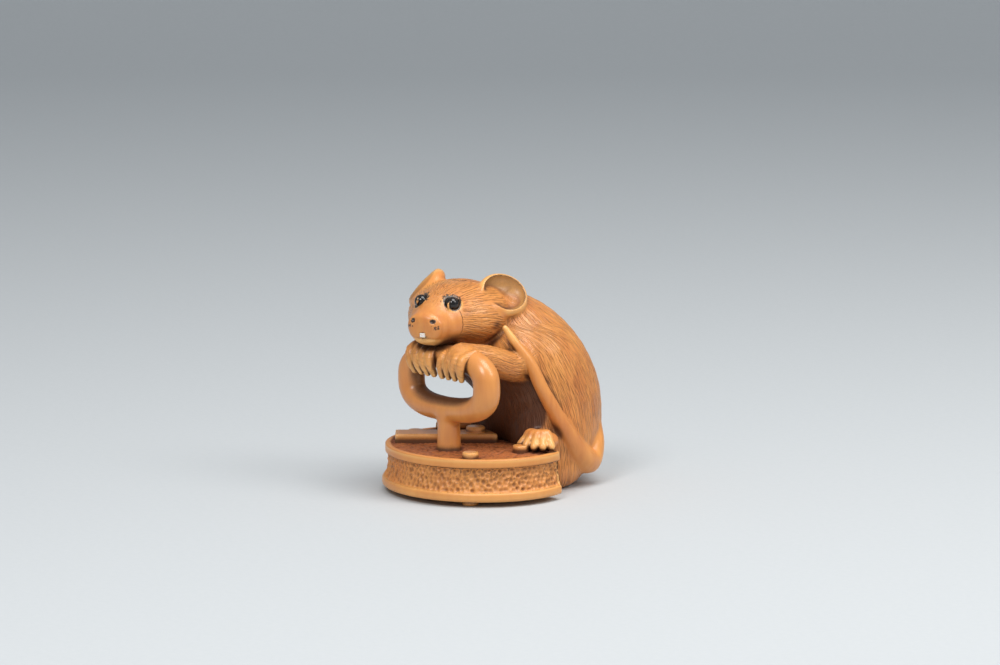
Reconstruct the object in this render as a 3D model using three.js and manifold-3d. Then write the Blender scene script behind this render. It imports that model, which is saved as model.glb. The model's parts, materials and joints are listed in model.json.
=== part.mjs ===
// A boxwood netsuke: a rat squats behind a round weight and leans its chin and
// forepaws on the weight's stirrup handle. Millimetres, +Z up, the rat faces -Y and
// its left side is +X. The origin is on the ground under the middle of the weight.
import * as THREE from "three";
import { mergeVertices } from "three/addons/utils/BufferGeometryUtils.js";
import Module from "manifold-3d";

const wasm = await Module();
wasm.setup();

// ---- the weight -------------------------------------------------------------
const WEIGHT_HALF_X = 15.3;
const WEIGHT_HALF_Y = 14.4;
const WEIGHT_BOTTOM = 0.85;
const WEIGHT_TOP = 7.65;
const RIM_HEIGHT = 1.45;
const BASE_FLARE = 0.5; // how far the lower rim stands outside the upper one
const RIM_ROUND = 0.5; // how much of each rim's corners is rounded away
const BAND_STEP = 0.3; // how far the pitted band stands behind the rims
const BAND_HOLLOW = 0.2; // how far its middle sinks further
const PIT_DEPTH = 0.38;
const BAND_ROWS = 4;
const WEIGHT_SIDES = 68; // even, so that the pits close into a ring
const CHORD_Y = 5.0; // the weight is cut flat here, where the rump begins
const FOOT_RADIUS = 1.3;
const FOOT_PLACES = [[0, 0], [9.0, -9.0], [-9.0, -9.0]];

// ---- what stands on the weight ------------------------------------------------
const STUD_RADIUS = 1.3;
const STUD_HEIGHT = 0.95;
const STUD_PLACES = [[9.2, -9.1], [9.9, 0.7], [-11.2, -3.6]];
const BAR_LENGTH = 16.4;
const BAR_WIDTH = 4.4;
const BAR_HEIGHT = 1.2;
const BAR_ROUND = 1.2; // how far its rounded and slanted ends reach along it
const BAR_MIDDLE = [-5.4, -2.0];
const BAR_TURN = 50; // degrees from +X
const BAR_STUD_RADIUS = 1.55;
const BAR_STUD_AT = 4.7; // along the bar, from its middle

// ---- the handle ---------------------------------------------------------------
const HANDLE_X = 0.7;
const HANDLE_Y = -6.5;
const HANDLE_MIDDLE_Z = 18.2;
const HANDLE_HALF_WIDTH = 9.4;
const HANDLE_HALF_HEIGHT = 4.2;
const HANDLE_SQUARENESS = 2.8; // 2 is an ellipse, more is squarer
const HANDLE_RADIUS = 1.9;
const HANDLE_SIDE_SWELL = 0.25;
const HANDLE_LEAN = 2.5; // degrees, its left end up
const HANDLE_JOIN = 7; // the ring's ends meet this many degrees off its top, under the paws
const HANDLE_STATIONS = 24;
const POST_RADIUS = 1.85;
const POST_FLARE = 0.25;

// ---- the rat ------------------------------------------------------------------
// A limb is a row of stations [x, y, z, radius] along a smooth curve.
const TORSO = [
  [0.3, 14.2, 8.6, 8.5],
  [0.2, 13.2, 13.5, 9.6],
  [-0.6, 11.2, 18.6, 9.3],
  [-2.0, 8.9, 23.8, 6.9],
  [-4.4, 4.4, 26.6, 5.2],
];
const RUMP = { at: [0.3, 14.6, 6.3], radii: [8.2, 7.6, 6.6] };
const HAUNCH = { at: [5.0, 11.2, 8.0], radii: [5.3, 7.0, 6.8] };
const HOCK = { at: [6.6, 10.6, 3.2], radii: [3.6, 5.4, 3.4] };
const LEFT_SHOULDER = { at: [2.8, 6.2, 20.8], radii: [4.2, 5.0, 5.2] };
const RIGHT_SHOULDER = { at: [-5.6, 5.6, 20.8], radii: [4.2, 5.0, 5.2] };

// the head's own frame: forward, left and up from a point between the eyes
const HEAD_AT = [-2.3, -6.2, 30.85];
const HEAD_TURN = 23; // degrees towards the rat's left
// rows from the nose back: [forward, half width, crown, widest level, chin]
const HEAD_ROWS = [
  [5.6, 0.0, -2.7, -2.7, -2.7],
  [5.4, 1.7, -1.7, -2.8, -4.4],
  [4.9, 2.7, -1.2, -3.0, -5.6],
  [3.9, 3.3, -0.8, -3.3, -6.3],
  [2.2, 3.7, 0.0, -3.5, -6.7],
  [0.2, 4.9, 1.3, -3.3, -6.8],
  [-2.4, 5.9, 2.2, -3.0, -6.8],
  [-5.2, 7.2, 2.5, -2.8, -6.9],
  [-8.0, 7.9, 2.5, -2.6, -6.8],
  [-10.6, 7.2, 2.0, -2.6, -6.4],
  [-12.8, 5.0, 0.6, -2.8, -5.6],
  [-14.0, 0.0, -2.6, -2.6, -2.6],
];
const CROWN_NARROWING = 0.2; // share of the width lost from the cheeks to the crown
const FLANK_FULLNESS = 0.8; // below 1 fills the corners of a section
const CHEEK = { at: [-7.0, 3.7, -3.4], radii: [5.4, 4.1, 3.5] };
const MOUTH = { at: [4.6, 0, -5.1], radii: [1.4, 2.6, 0.2] };
const EYE_AT = [0.45, 2.75, -0.1];
const EYE_RADIUS = 1.15;
const SOCKET_GAP = 0.06;
const HEAD_SIDES = 16;
const INCISORS_AT = [5.1, 0, -4.6];
const INCISOR_SIZE = [0.8, 0.9, 0.9];
const EAR_AT = [-9.2, 6.8, 0.2];
const EAR_OPENS = 60; // degrees from forward, outwards
const EAR_LIFTS = 40; // degrees upwards
const EAR_HALF = [2.0, 4.35, 3.9]; // deep, across, up
const EAR_CUP = [2.0, 3.65, 3.2];
const EAR_CUP_FORWARD = 1.0;
const NOSTRIL = { at: [5.15, 1.7, -2.3], radii: [0.6, 0.55, 0.4] };

const LEFT_ARM = [
  [3.6, 6.0, 21.6, 3.2],
  [5.4, 2.4, 20.6, 2.5],
  [4.9, -2.2, 22.2, 2.1],
  [3.9, -6.2, 23.0, 2.0],
];
const RIGHT_ARM = [
  [-5.0, 5.0, 21.6, 3.2],
  [-7.4, 1.0, 21.0, 2.4],
  [-6.0, -3.4, 22.0, 2.1],
  [-4.9, -6.2, 22.4, 2.0],
];
// each finger is knuckle, middle joint and tip over the top of the handle
const LEFT_FINGER_X = [2.2, 3.8, 5.4, 7.0];
const RIGHT_FINGER_X = [-1.9, -3.5, -5.1, -6.8];
const LEFT_FINGER_LEAN = -0.4; // how far a tip stands off its knuckle, along X
const RIGHT_FINGER_LEAN = 1.7;
const FINGER_PATH = [[-6.4, 23.6], [-8.5, 22.8], [-9.1, 21.2], [-8.7, 19.6]];
const LEFT_HAND = { at: [4.4, -7.0, 22.9], radii: [3.4, 2.2, 1.7] };
const RIGHT_HAND = { at: [-4.4, -6.6, 22.4], radii: [3.2, 2.4, 1.8] };
const FINGER_RADIUS = 0.85;
const FINGER_TAPER = 0.35; // share of the radius lost from knuckle to tip

// the hind feet rest on the weight; the left one is given, the right one mirrors it
const FOOT_AT = [10.0, 5.0, 8.8];
const FOOT_RADII = [2.8, 2.8, 1.7];
const TOE_SPREAD = [-48, -24, 0, 22, 44]; // degrees about the foot's heading
const FOOT_HEADING = 60; // degrees from +X towards -Y, seen from above
const TOE_LENGTH = 3.3;
const TOE_RADIUS = 0.85;

const TAIL = [
  [1.0, 19.2, 12.6, 1.9],
  [4.4, 19.4, 10.0, 1.9],
  [7.0, 18.2, 6.6, 1.95],
  [8.3, 16.2, 4.0, 2.1],
  [9.4, 13.5, 5.4, 1.9],
  [9.9, 10.7, 8.8, 1.5],
  [9.75, 8.3, 12.5, 1.25],
  [9.05, 6.0, 16.7, 1.1],
  [7.75, 4.4, 21.1, 0.95],
  [6.3, 3.1, 23.7, 0.8],
  [4.6, 1.9, 26.6, 0.45],
];

const FAR = 60; // a cutting box reaches this far, past the object
const BURIED = 0.5; // how deep a stud or a bar starts inside the wood it stands on

const UPRIGHT_SIDES = 12;

// ---- helpers ------------------------------------------------------------------
const radians = THREE.MathUtils.degToRad;
const vector = (p) => new THREE.Vector3(p[0], p[1], p[2]);
const world = new THREE.Matrix4();
const X = 0; // the coordinate that changes sign across the body
const LEFT = 1; // the same for a place in the head's frame

// The same form on the left (side 1) or on the right (side -1).
function onSide({ at, radii }, across, side) {
  return { at: at.map((value, i) => (i === across ? value * side : value)), radii };
}

// A closed three.js geometry as a solid: shared corners merged, empty faces dropped.
function solid(geometry) {
  const bare = geometry.clone();
  bare.deleteAttribute("normal");
  bare.deleteAttribute("uv");
  const merged = mergeVertices(bare, 1e-4);
  const index = merged.index.array;
  const faces = [];
  for (let i = 0; i < index.length; i += 3) {
    const [a, b, c] = index.slice(i, i + 3);
    if (a !== b && b !== c && c !== a) faces.push(a, b, c);
  }
  const mesh = new wasm.Mesh({
    numProp: 3,
    vertProperties: new Float32Array(merged.attributes.position.array),
    triVerts: new Uint32Array(faces),
  });
  return new wasm.Manifold(mesh);
}

const joined = (solids) => solids.reduce((sum, next) => sum.add(next));

// Crossing surfaces can leave loose slivers, so only the largest body is kept.
function largest(made) {
  const bodies = made.decompose();
  return bodies.reduce((best, next) => (next.volume() > best.volume() ? next : best));
}

// A frame at a point, turned about Z by an angle in degrees.
function frameAt(at, turn) {
  return new THREE.Matrix4().makeRotationZ(radians(turn)).setPosition(vector(at));
}

// An ellipsoid; `sides` is how many faces go round its middle.
function ball({ at, radii }, frame, sides) {
  const geometry = new THREE.SphereGeometry(1, sides, Math.round(sides * 0.6));
  geometry.rotateX(Math.PI / 2);
  geometry.scale(...radii);
  geometry.translate(...at);
  return solid(geometry.applyMatrix4(frame));
}

// A round limb with domed ends through stations [x, y, z, radius]. `sides` go round
// it, `rows` go along it and `capRows` go over each end.
function limb(stations, sides, rows, capRows = 1) {
  const curve = new THREE.CatmullRomCurve3(stations.map(vector));
  const length = curve.getLength();
  const radiusAt = (t) => {
    const place = t * (stations.length - 1);
    const i = Math.min(Math.floor(place), stations.length - 2);
    const ease = THREE.MathUtils.smoothstep(place - i, 0, 1);
    return THREE.MathUtils.lerp(stations[i][3], stations[i + 1][3], ease);
  };
  const first = stations[0][3];
  const last = stations.at(-1)[3];
  const profile = [];
  for (let i = 0; i < capRows; i++) {
    const a = (i / capRows) * (Math.PI / 2);
    profile.push(new THREE.Vector2(first * Math.sin(a), -first * Math.cos(a)));
  }
  for (let i = 0; i <= rows; i++) {
    profile.push(new THREE.Vector2(radiusAt(i / rows), (i / rows) * length));
  }
  for (let i = capRows - 1; i >= 0; i--) {
    const a = (i / capRows) * (Math.PI / 2);
    profile.push(new THREE.Vector2(last * Math.sin(a), length + last * Math.cos(a)));
  }
  const geometry = new THREE.LatheGeometry(profile, sides);
  const frames = curve.computeFrenetFrames(rows);
  const points = Array.from({ length: rows + 1 }, (_, i) => curve.getPoint(i / rows));
  const position = geometry.attributes.position;
  for (let i = 0; i < position.count; i++) {
    const along = position.getY(i);
    const row = Math.round(THREE.MathUtils.clamp(along / length, 0, 1) * rows);
    const beyond = along - THREE.MathUtils.clamp(along, 0, length);
    const p = points[row].clone();
    p.addScaledVector(frames.normals[row], position.getX(i));
    p.addScaledVector(frames.binormals[row], position.getZ(i));
    p.addScaledVector(frames.tangents[row], beyond);
    position.setXYZ(i, p.x, p.y, p.z);
  }
  const made = solid(geometry);
  return made.volume() > 0 ? made : solid(flipped(geometry));
}

function flipped(geometry) {
  const index = geometry.index.array;
  for (let i = 0; i < index.length; i += 3) {
    [index[i + 1], index[i + 2]] = [index[i + 2], index[i + 1]];
  }
  return geometry;
}

function box(x0, x1, y0, y1, z0, z1) {
  const geometry = new THREE.BoxGeometry(x1 - x0, y1 - y0, z1 - z0);
  return solid(geometry.translate((x0 + x1) / 2, (y0 + y1) / 2, (z0 + z1) / 2));
}

function upright(radius, x, y, z0, z1) {
  const geometry = new THREE.CylinderGeometry(radius, radius, z1 - z0, UPRIGHT_SIDES);
  geometry.rotateX(Math.PI / 2);
  return solid(geometry.translate(x, y, (z0 + z1) / 2));
}

// ---- the pieces of the carving ------------------------------------------------
function weight() {
  const lower = WEIGHT_BOTTOM + RIM_HEIGHT;
  const upper = WEIGHT_TOP - RIM_HEIGHT;
  const edge = WEIGHT_HALF_Y;
  const wide = edge + BASE_FLARE;
  const profile = [
    [0, WEIGHT_BOTTOM],
    [wide - RIM_ROUND, WEIGHT_BOTTOM],
    [wide, WEIGHT_BOTTOM + RIM_ROUND],
    [wide, lower - RIM_ROUND],
    [wide - RIM_ROUND / 2, lower],
  ];
  const bandStart = profile.length;
  for (let i = 0; i <= BAND_ROWS; i++) {
    const t = i / BAND_ROWS;
    const hollow = BAND_HOLLOW * (1 - (2 * t - 1) ** 2);
    profile.push([
      THREE.MathUtils.lerp(wide, edge, t) - BAND_STEP - hollow,
      THREE.MathUtils.lerp(lower, upper, t),
    ]);
  }
  profile.push([edge, upper], [edge, WEIGHT_TOP - RIM_ROUND / 2]);
  profile.push([edge - RIM_ROUND / 2, WEIGHT_TOP]);
  profile.push([0, WEIGHT_TOP]);
  const points = profile.map(([r, z]) => new THREE.Vector2(r, z));
  const geometry = new THREE.LatheGeometry(points, WEIGHT_SIDES);
  const position = geometry.attributes.position;
  for (let i = 0; i < position.count; i++) {
    const row = i % points.length;
    const side = Math.floor(i / points.length) % WEIGHT_SIDES;
    const inBand = row > bandStart && row < bandStart + BAND_ROWS;
    const pitted = inBand && (side + row) % 2 === 0;
    const radius = Math.hypot(position.getX(i), position.getZ(i));
    const shrink = pitted ? (radius - PIT_DEPTH) / radius : 1;
    position.setX(i, position.getX(i) * shrink);
    position.setZ(i, position.getZ(i) * shrink);
  }
  turnDiagonals(geometry, points.length);
  geometry.rotateX(Math.PI / 2);
  geometry.scale(WEIGHT_HALF_X / WEIGHT_HALF_Y, 1, 1);
  const round = solid(geometry);
  const behind = box(-FAR, FAR, CHORD_Y, FAR, -1, WEIGHT_TOP + 1);
  return round.subtract(behind);
}

// Each cell of the band is folded along the line that joins its two high corners,
// so that every low corner is a four-sided pit.
function turnDiagonals(geometry, rows) {
  const index = [];
  for (let side = 0; side < WEIGHT_SIDES; side++) {
    for (let row = 0; row < rows - 1; row++) {
      const a = side * rows + row;
      const [b, c, d] = [a + rows, a + rows + 1, a + 1];
      const lowCorner = (side + row) % 2 === 0;
      index.push(...(lowCorner ? [a, b, d, c, d, b] : [a, b, c, a, c, d]));
    }
  }
  geometry.setIndex(index);
}

function weightFittings() {
  const pieces = FOOT_PLACES.map(([x, y]) => {
    return upright(FOOT_RADIUS, x, y, 0, WEIGHT_BOTTOM + BURIED);
  });
  for (const [x, y] of STUD_PLACES) {
    const top = WEIGHT_TOP + STUD_HEIGHT;
    pieces.push(upright(STUD_RADIUS, x, y, WEIGHT_TOP - BURIED, top));
  }
  const outline = new THREE.Shape();
  const end = BAR_LENGTH / 2;
  const edge = BAR_WIDTH / 2;
  outline.moveTo(BAR_ROUND - end, -edge);
  outline.lineTo(end - BAR_ROUND, -edge);
  outline.quadraticCurveTo(end, -edge, end, BAR_ROUND - edge);
  outline.lineTo(end - BAR_ROUND, edge);
  outline.lineTo(BAR_ROUND - end, edge);
  outline.quadraticCurveTo(-end, 0, BAR_ROUND - end, -edge);
  const bar = new THREE.ExtrudeGeometry(outline, {
    depth: BAR_HEIGHT + BURIED,
    bevelEnabled: false,
    curveSegments: 4,
  });
  bar.translate(0, 0, WEIGHT_TOP - BURIED);
  const barFrame = frameAt([...BAR_MIDDLE, 0], BAR_TURN);
  pieces.push(solid(bar.applyMatrix4(barFrame)));
  const stud = new THREE.Vector3(BAR_STUD_AT, 0, 0).applyMatrix4(barFrame);
  const studTop = WEIGHT_TOP + BAR_HEIGHT + STUD_HEIGHT;
  pieces.push(upright(BAR_STUD_RADIUS, stud.x, stud.y, WEIGHT_TOP, studTop));
  return joined(pieces);
}

function handle() {
  const lean = new THREE.Matrix4().makeRotationY(-radians(HANDLE_LEAN));
  lean.setPosition(HANDLE_X, HANDLE_Y, HANDLE_MIDDLE_Z);
  const squared = (value) => Math.sign(value) * Math.abs(value) ** (2 / HANDLE_SQUARENESS);
  const ring = [];
  for (let i = 0; i <= HANDLE_STATIONS; i++) {
    const turned = (i / HANDLE_STATIONS) * (360 - 2 * HANDLE_JOIN);
    const a = radians(90 + HANDLE_JOIN + turned);
    const c = squared(Math.cos(a));
    const place = vector([HANDLE_HALF_WIDTH * c, 0, HANDLE_HALF_HEIGHT * squared(Math.sin(a))]);
    const radius = HANDLE_RADIUS + HANDLE_SIDE_SWELL * Math.abs(c);
    ring.push([...place.applyMatrix4(lean).toArray(), radius]);
  }
  const bottom = HANDLE_MIDDLE_Z - HANDLE_HALF_HEIGHT;
  const post = limb([
    [HANDLE_X, HANDLE_Y, WEIGHT_TOP - POST_RADIUS, POST_RADIUS + POST_FLARE],
    [HANDLE_X, HANDLE_Y, WEIGHT_TOP + POST_RADIUS / 2, POST_RADIUS],
    [HANDLE_X, HANDLE_Y, bottom - POST_RADIUS, POST_RADIUS],
    [HANDLE_X, HANDLE_Y, bottom, POST_RADIUS],
  ], 12, 5);
  return limb(ring, 10, 28).add(post);
}

function hindFoot(at, side) {
  const pieces = [ball({ at, radii: FOOT_RADII }, world, 8)];
  for (const spread of TOE_SPREAD) {
    const a = radians(-FOOT_HEADING + spread);
    const direction = [side * Math.cos(a), Math.sin(a)];
    const toe = (reach, z, radius) => {
      return [at[0] + direction[0] * reach, at[1] + direction[1] * reach, z, radius];
    };
    const knuckle = at[2] + TOE_RADIUS;
    pieces.push(limb([
      toe(TOE_LENGTH * 0.45, knuckle, TOE_RADIUS),
      toe(TOE_LENGTH * 0.75, knuckle, TOE_RADIUS),
      toe(TOE_LENGTH * 1.15, WEIGHT_TOP + TOE_RADIUS * 0.7, TOE_RADIUS * 0.8),
    ], 6, 2));
  }
  return joined(pieces);
}

function torso() {
  const pieces = [limb(TORSO, 18, 10, 3), ball(RUMP, world, 14)];
  for (const side of [1, -1]) {
    pieces.push(ball(onSide(HAUNCH, X, side), world, 12));
    pieces.push(ball(onSide(HOCK, X, side), world, 10));
    pieces.push(hindFoot([FOOT_AT[X] * side, FOOT_AT[1], FOOT_AT[2]], side));
  }
  pieces.push(ball(LEFT_SHOULDER, world, 12), ball(RIGHT_SHOULDER, world, 12));
  return joined(pieces);
}

const headFrame = frameAt(HEAD_AT, HEAD_TURN - 90);

function ear(side) {
  const at = vector([EAR_AT[0], EAR_AT[1] * side, EAR_AT[2]]);
  const turn = new THREE.Matrix4().makeRotationZ(radians(side * EAR_OPENS));
  const lift = new THREE.Matrix4().makeRotationY(-radians(EAR_LIFTS));
  const frame = headFrame.clone().multiply(turn.multiply(lift).setPosition(at));
  const shell = ball({ at: [0, 0, 0], radii: EAR_HALF }, frame, 14);
  const cup = ball({ at: [EAR_CUP_FORWARD, 0, 0], radii: EAR_CUP }, frame, 12);
  return shell.subtract(cup);
}

// The head is a loft of egg-shaped sections, wide at the cheeks, narrow at the crown.
function skull() {
  const profile = HEAD_ROWS.map(([forward], i) => {
    const atPole = i === 0 || i === HEAD_ROWS.length - 1;
    return new THREE.Vector2(atPole ? 0 : 1, forward);
  });
  const geometry = new THREE.LatheGeometry(profile, HEAD_SIDES);
  const position = geometry.attributes.position;
  for (let i = 0; i < position.count; i++) {
    const [forward, half, crown, middle, chin] = HEAD_ROWS[i % HEAD_ROWS.length];
    const up = position.getX(i);
    const side = position.getZ(i);
    const width = half * (1 - CROWN_NARROWING * Math.max(up, 0) ** 2);
    const out = Math.sign(side) * Math.abs(side) ** FLANK_FULLNESS;
    const height = up > 0 ? crown - middle : middle - chin;
    position.setXYZ(i, forward, out * width, middle + up * height);
  }
  const made = solid(geometry.applyMatrix4(headFrame));
  return made.volume() > 0 ? made : solid(flipped(geometry));
}

function head() {
  let made = skull();
  for (const side of [1, -1]) {
    made = made.add(ball(onSide(CHEEK, LEFT, side), headFrame, 12));
    made = made.subtract(ball(onSide(NOSTRIL, LEFT, side), headFrame, 8));
    made = made.add(ear(side));
  }
  return made.subtract(ball(MOUTH, headFrame, 12));
}

function eyeBall(side, extra) {
  const radius = EYE_RADIUS + extra;
  const at = [EYE_AT[0], EYE_AT[1] * side, EYE_AT[2]];
  return ball({ at, radii: [radius, radius, radius] }, headFrame, 12);
}

function incisorBlock(extra) {
  const [deep, wide, tall] = INCISOR_SIZE.map((size) => size + 2 * extra);
  const geometry = new THREE.BoxGeometry(deep, wide, tall);
  return solid(geometry.translate(...INCISORS_AT).applyMatrix4(headFrame));
}

function fingers(places, lean) {
  return joined(places.map((x) => {
    const stations = FINGER_PATH.map(([y, z], i) => {
      const along = i / (FINGER_PATH.length - 1);
      return [x + lean * along, y, z, FINGER_RADIUS * (1 - FINGER_TAPER * along)];
    });
    return limb(stations, 6, 4);
  }));
}

function carving() {
  let whole = joined([
    weight(),
    weightFittings(),
    handle(),
    torso(),
    limb(LEFT_ARM, 10, 7, 3),
    ball(LEFT_HAND, world, 12),
    ball(RIGHT_HAND, world, 12),
    limb(RIGHT_ARM, 9, 7, 3),
    fingers(LEFT_FINGER_X, LEFT_FINGER_LEAN),
    fingers(RIGHT_FINGER_X, RIGHT_FINGER_LEAN),
    limb(TAIL, 8, 26),
    head(),
  ]);
  for (const side of [1, -1]) whole = whole.subtract(eyeBall(side, SOCKET_GAP));
  whole = whole.subtract(incisorBlock(SOCKET_GAP));
  const below = box(-FAR, FAR, -FAR, FAR, -20, 0);
  return largest(whole.subtract(below));
}

// ---- materials and the finished group -----------------------------------------
const boxwood = new THREE.MeshStandardMaterial({
  color: 0xc47a3c,
  roughness: 0.42,
  metalness: 0,
});
const horn = new THREE.MeshStandardMaterial({ color: 0x0b0a0a, roughness: 0.08, metalness: 0 });
const bone = new THREE.MeshStandardMaterial({ color: 0xe9dfcd, roughness: 0.35, metalness: 0 });

function meshOf(name, made, material) {
  const { numProp, vertProperties, triVerts } = made.getMesh();
  const geometry = new THREE.BufferGeometry();
  const position = new THREE.BufferAttribute(new Float32Array(vertProperties), numProp);
  geometry.setAttribute("position", position);
  geometry.setIndex(new THREE.BufferAttribute(new Uint32Array(triVerts), 1));
  geometry.computeVertexNormals();
  const mesh = new THREE.Mesh(geometry, material);
  mesh.name = name;
  return mesh;
}

const netsuke = new THREE.Group();
netsuke.add(meshOf("boxwood_carving", carving(), boxwood));
netsuke.add(meshOf("left_eye", eyeBall(1, 0), horn));
netsuke.add(meshOf("right_eye", eyeBall(-1, 0), horn));
netsuke.add(meshOf("incisors", incisorBlock(0), bone));

export default netsuke;
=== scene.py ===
# %% [markdown]
# # A boxwood netsuke: a rat leaning on a round weight
#
# A netsuke is a toggle about as long as a thumb, carved from one block. This one is a
# rat that squats behind a round weight, with its chin and paws on the weight's handle.
# The solid model says where everything is. This lesson gives it a carver's surface:
# smooth joins, hair lines, pits, stained hollows and polished edges.
#
# The first cell loads the solid model as a fixed frame and keeps its outer box.

# %% Load the solid model
import json
import math

import bpy
import numpy as np
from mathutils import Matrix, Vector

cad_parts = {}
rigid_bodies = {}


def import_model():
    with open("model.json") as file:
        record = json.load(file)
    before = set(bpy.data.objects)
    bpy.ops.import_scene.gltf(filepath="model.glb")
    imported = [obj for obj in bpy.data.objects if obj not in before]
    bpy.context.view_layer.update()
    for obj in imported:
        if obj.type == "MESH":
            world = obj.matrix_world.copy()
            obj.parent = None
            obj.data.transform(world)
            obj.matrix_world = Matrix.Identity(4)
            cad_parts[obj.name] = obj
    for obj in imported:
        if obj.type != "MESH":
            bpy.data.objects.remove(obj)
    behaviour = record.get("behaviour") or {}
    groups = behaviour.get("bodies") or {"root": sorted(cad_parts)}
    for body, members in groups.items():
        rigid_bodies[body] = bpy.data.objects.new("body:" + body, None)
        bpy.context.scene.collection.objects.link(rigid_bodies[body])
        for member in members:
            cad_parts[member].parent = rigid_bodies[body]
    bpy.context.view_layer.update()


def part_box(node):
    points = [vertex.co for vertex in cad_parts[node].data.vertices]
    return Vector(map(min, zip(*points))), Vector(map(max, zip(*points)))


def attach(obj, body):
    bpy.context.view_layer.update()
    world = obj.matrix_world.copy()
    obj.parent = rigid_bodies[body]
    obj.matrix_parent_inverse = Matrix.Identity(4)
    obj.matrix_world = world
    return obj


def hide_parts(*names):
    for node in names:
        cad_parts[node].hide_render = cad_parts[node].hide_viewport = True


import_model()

# %% [markdown]
# ## Units and places
#
# A carver thinks in millimetres and Blender in metres, so every form below is built in
# millimetres and scaled once, when its mesh is made. A `Place` is a point with three
# directions of its own. The head has one, because it is turned towards the rat's left,
# and sizes on it are easiest to say as forward, left and up.

# %% Millimetres and places
MM = 0.001


def millimetres(node):
    low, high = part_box(node)
    return np.array(low, np.float64) / MM, np.array(high, np.float64) / MM


def turned(axis, degrees):
    """A rotation matrix about axis 0, 1 or 2."""
    c, s = math.cos(math.radians(degrees)), math.sin(math.radians(degrees))
    u, v = (axis + 1) % 3, (axis + 2) % 3
    matrix = np.eye(3)
    matrix[u, u], matrix[u, v], matrix[v, u], matrix[v, v] = c, -s, s, c
    return matrix


class Place:
    def __init__(self, at, turn):
        self.at = np.asarray(at, np.float64)
        self.turn = np.asarray(turn, np.float64)

    def local(self, points):
        return (points - self.at) @ self.turn

    def world(self, points):
        return points @ self.turn.T + self.at


WORLD = Place((0, 0, 0), np.eye(3))
block_low, block_high = millimetres("boxwood_carving")
print("carving:", np.round(block_high - block_low, 1), "mm")

# %% [markdown]
# ## Carving by distance
#
# The block could be built from separate meshes joined with booleans, but a carver leaves
# no seams: an arm flows into a shoulder, while a finger keeps a sharp crease. A distance
# field says both. Each form is a function that gives, for any point, how far it is from
# the form's surface, with minus inside. Two forms join with a soft minimum, and one
# number says how wide the join is.
#
# Two kinds of form do nearly all the work: an egg, and a limb along a smooth curve.

# %% Eggs and limbs
class Form:
    """A distance function, with the box that holds the form."""

    def __init__(self, distance, low, high):
        self.distance = distance
        self.low, self.high = np.asarray(low, float), np.asarray(high, float)


def egg(at, radii, place=WORLD):
    at, radii = np.asarray(at, float), np.asarray(radii, float)

    def distance(points):
        q = (place.local(points) - at) / radii
        k = np.linalg.norm(q, axis=-1)
        slope = np.linalg.norm(q / radii, axis=-1)
        return k * (k - 1) / np.maximum(slope, 1e-6)

    centre = place.world(at)
    return Form(distance, centre - radii.max(), centre + radii.max())


def smooth_curve(stations, pieces):
    """Points on a Catmull-Rom curve through the rows of stations, radius and all."""
    rows = np.asarray(stations, float)
    padded = np.vstack([2 * rows[0] - rows[1], rows, 2 * rows[-1] - rows[-2]])
    made = []
    for i in range(len(rows) - 1):
        a, b, c, d = padded[i:i + 4]
        for t in np.arange(pieces) / pieces:
            made.append(0.5 * (2 * b + (c - a) * t + (2 * a - 5 * b + 4 * c - d) * t ** 2
                               + (3 * b - a - 3 * c + d) * t ** 3))
    return np.array(made + [rows[-1]])


def limb(stations, pieces=4):
    """A round limb through stations [x, y, z, radius]."""
    line = smooth_curve(stations, pieces)

    def distance(points):
        best = np.full(points.shape[:-1], 1e3)
        for a, b in zip(line[:-1], line[1:]):
            step = b[:3] - a[:3]
            t = np.clip((points - a[:3]) @ step / (step @ step), 0, 1)
            away = np.linalg.norm(points - a[:3] - t[..., None] * step, axis=-1)
            best = np.minimum(best, away - (a[3] + (b[3] - a[3]) * t))
        return best

    reach = line[:, 3].max()
    return Form(distance, line[:, :3].min(0) - reach, line[:, :3].max(0) + reach)


def soft_min(a, b, width):
    overlap = np.maximum(width - np.abs(a - b), 0) / width
    return np.minimum(a, b) - overlap ** 2 * width / 4


def soft_max(a, b, width):
    return -soft_min(-a, -b, width)


print("one egg at its pole:", egg((0, 0, 0), (1, 2, 3)).distance(np.array([[0, 0, 4.0]])))

# %% [markdown]
# ## From field to mesh
#
# The field is sampled on a grid, and a skin is drawn where it crosses zero. Blender's
# voxel remesh does the same to a finished mesh, but it would blur the creases between
# fingers. Here each grid cell that the surface crosses gets one vertex, four such cells
# share a quad, and the vertices then slide along the field's slope until they lie on the
# surface itself. This method is called surface nets, and gives even quads, which take
# fine relief well.

# %% A grid that can be carved and skinned
FAR = 3.0      # the field is only kept true this close to a surface
MARGIN = 2.0   # room round a form's own box, for soft joins


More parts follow.
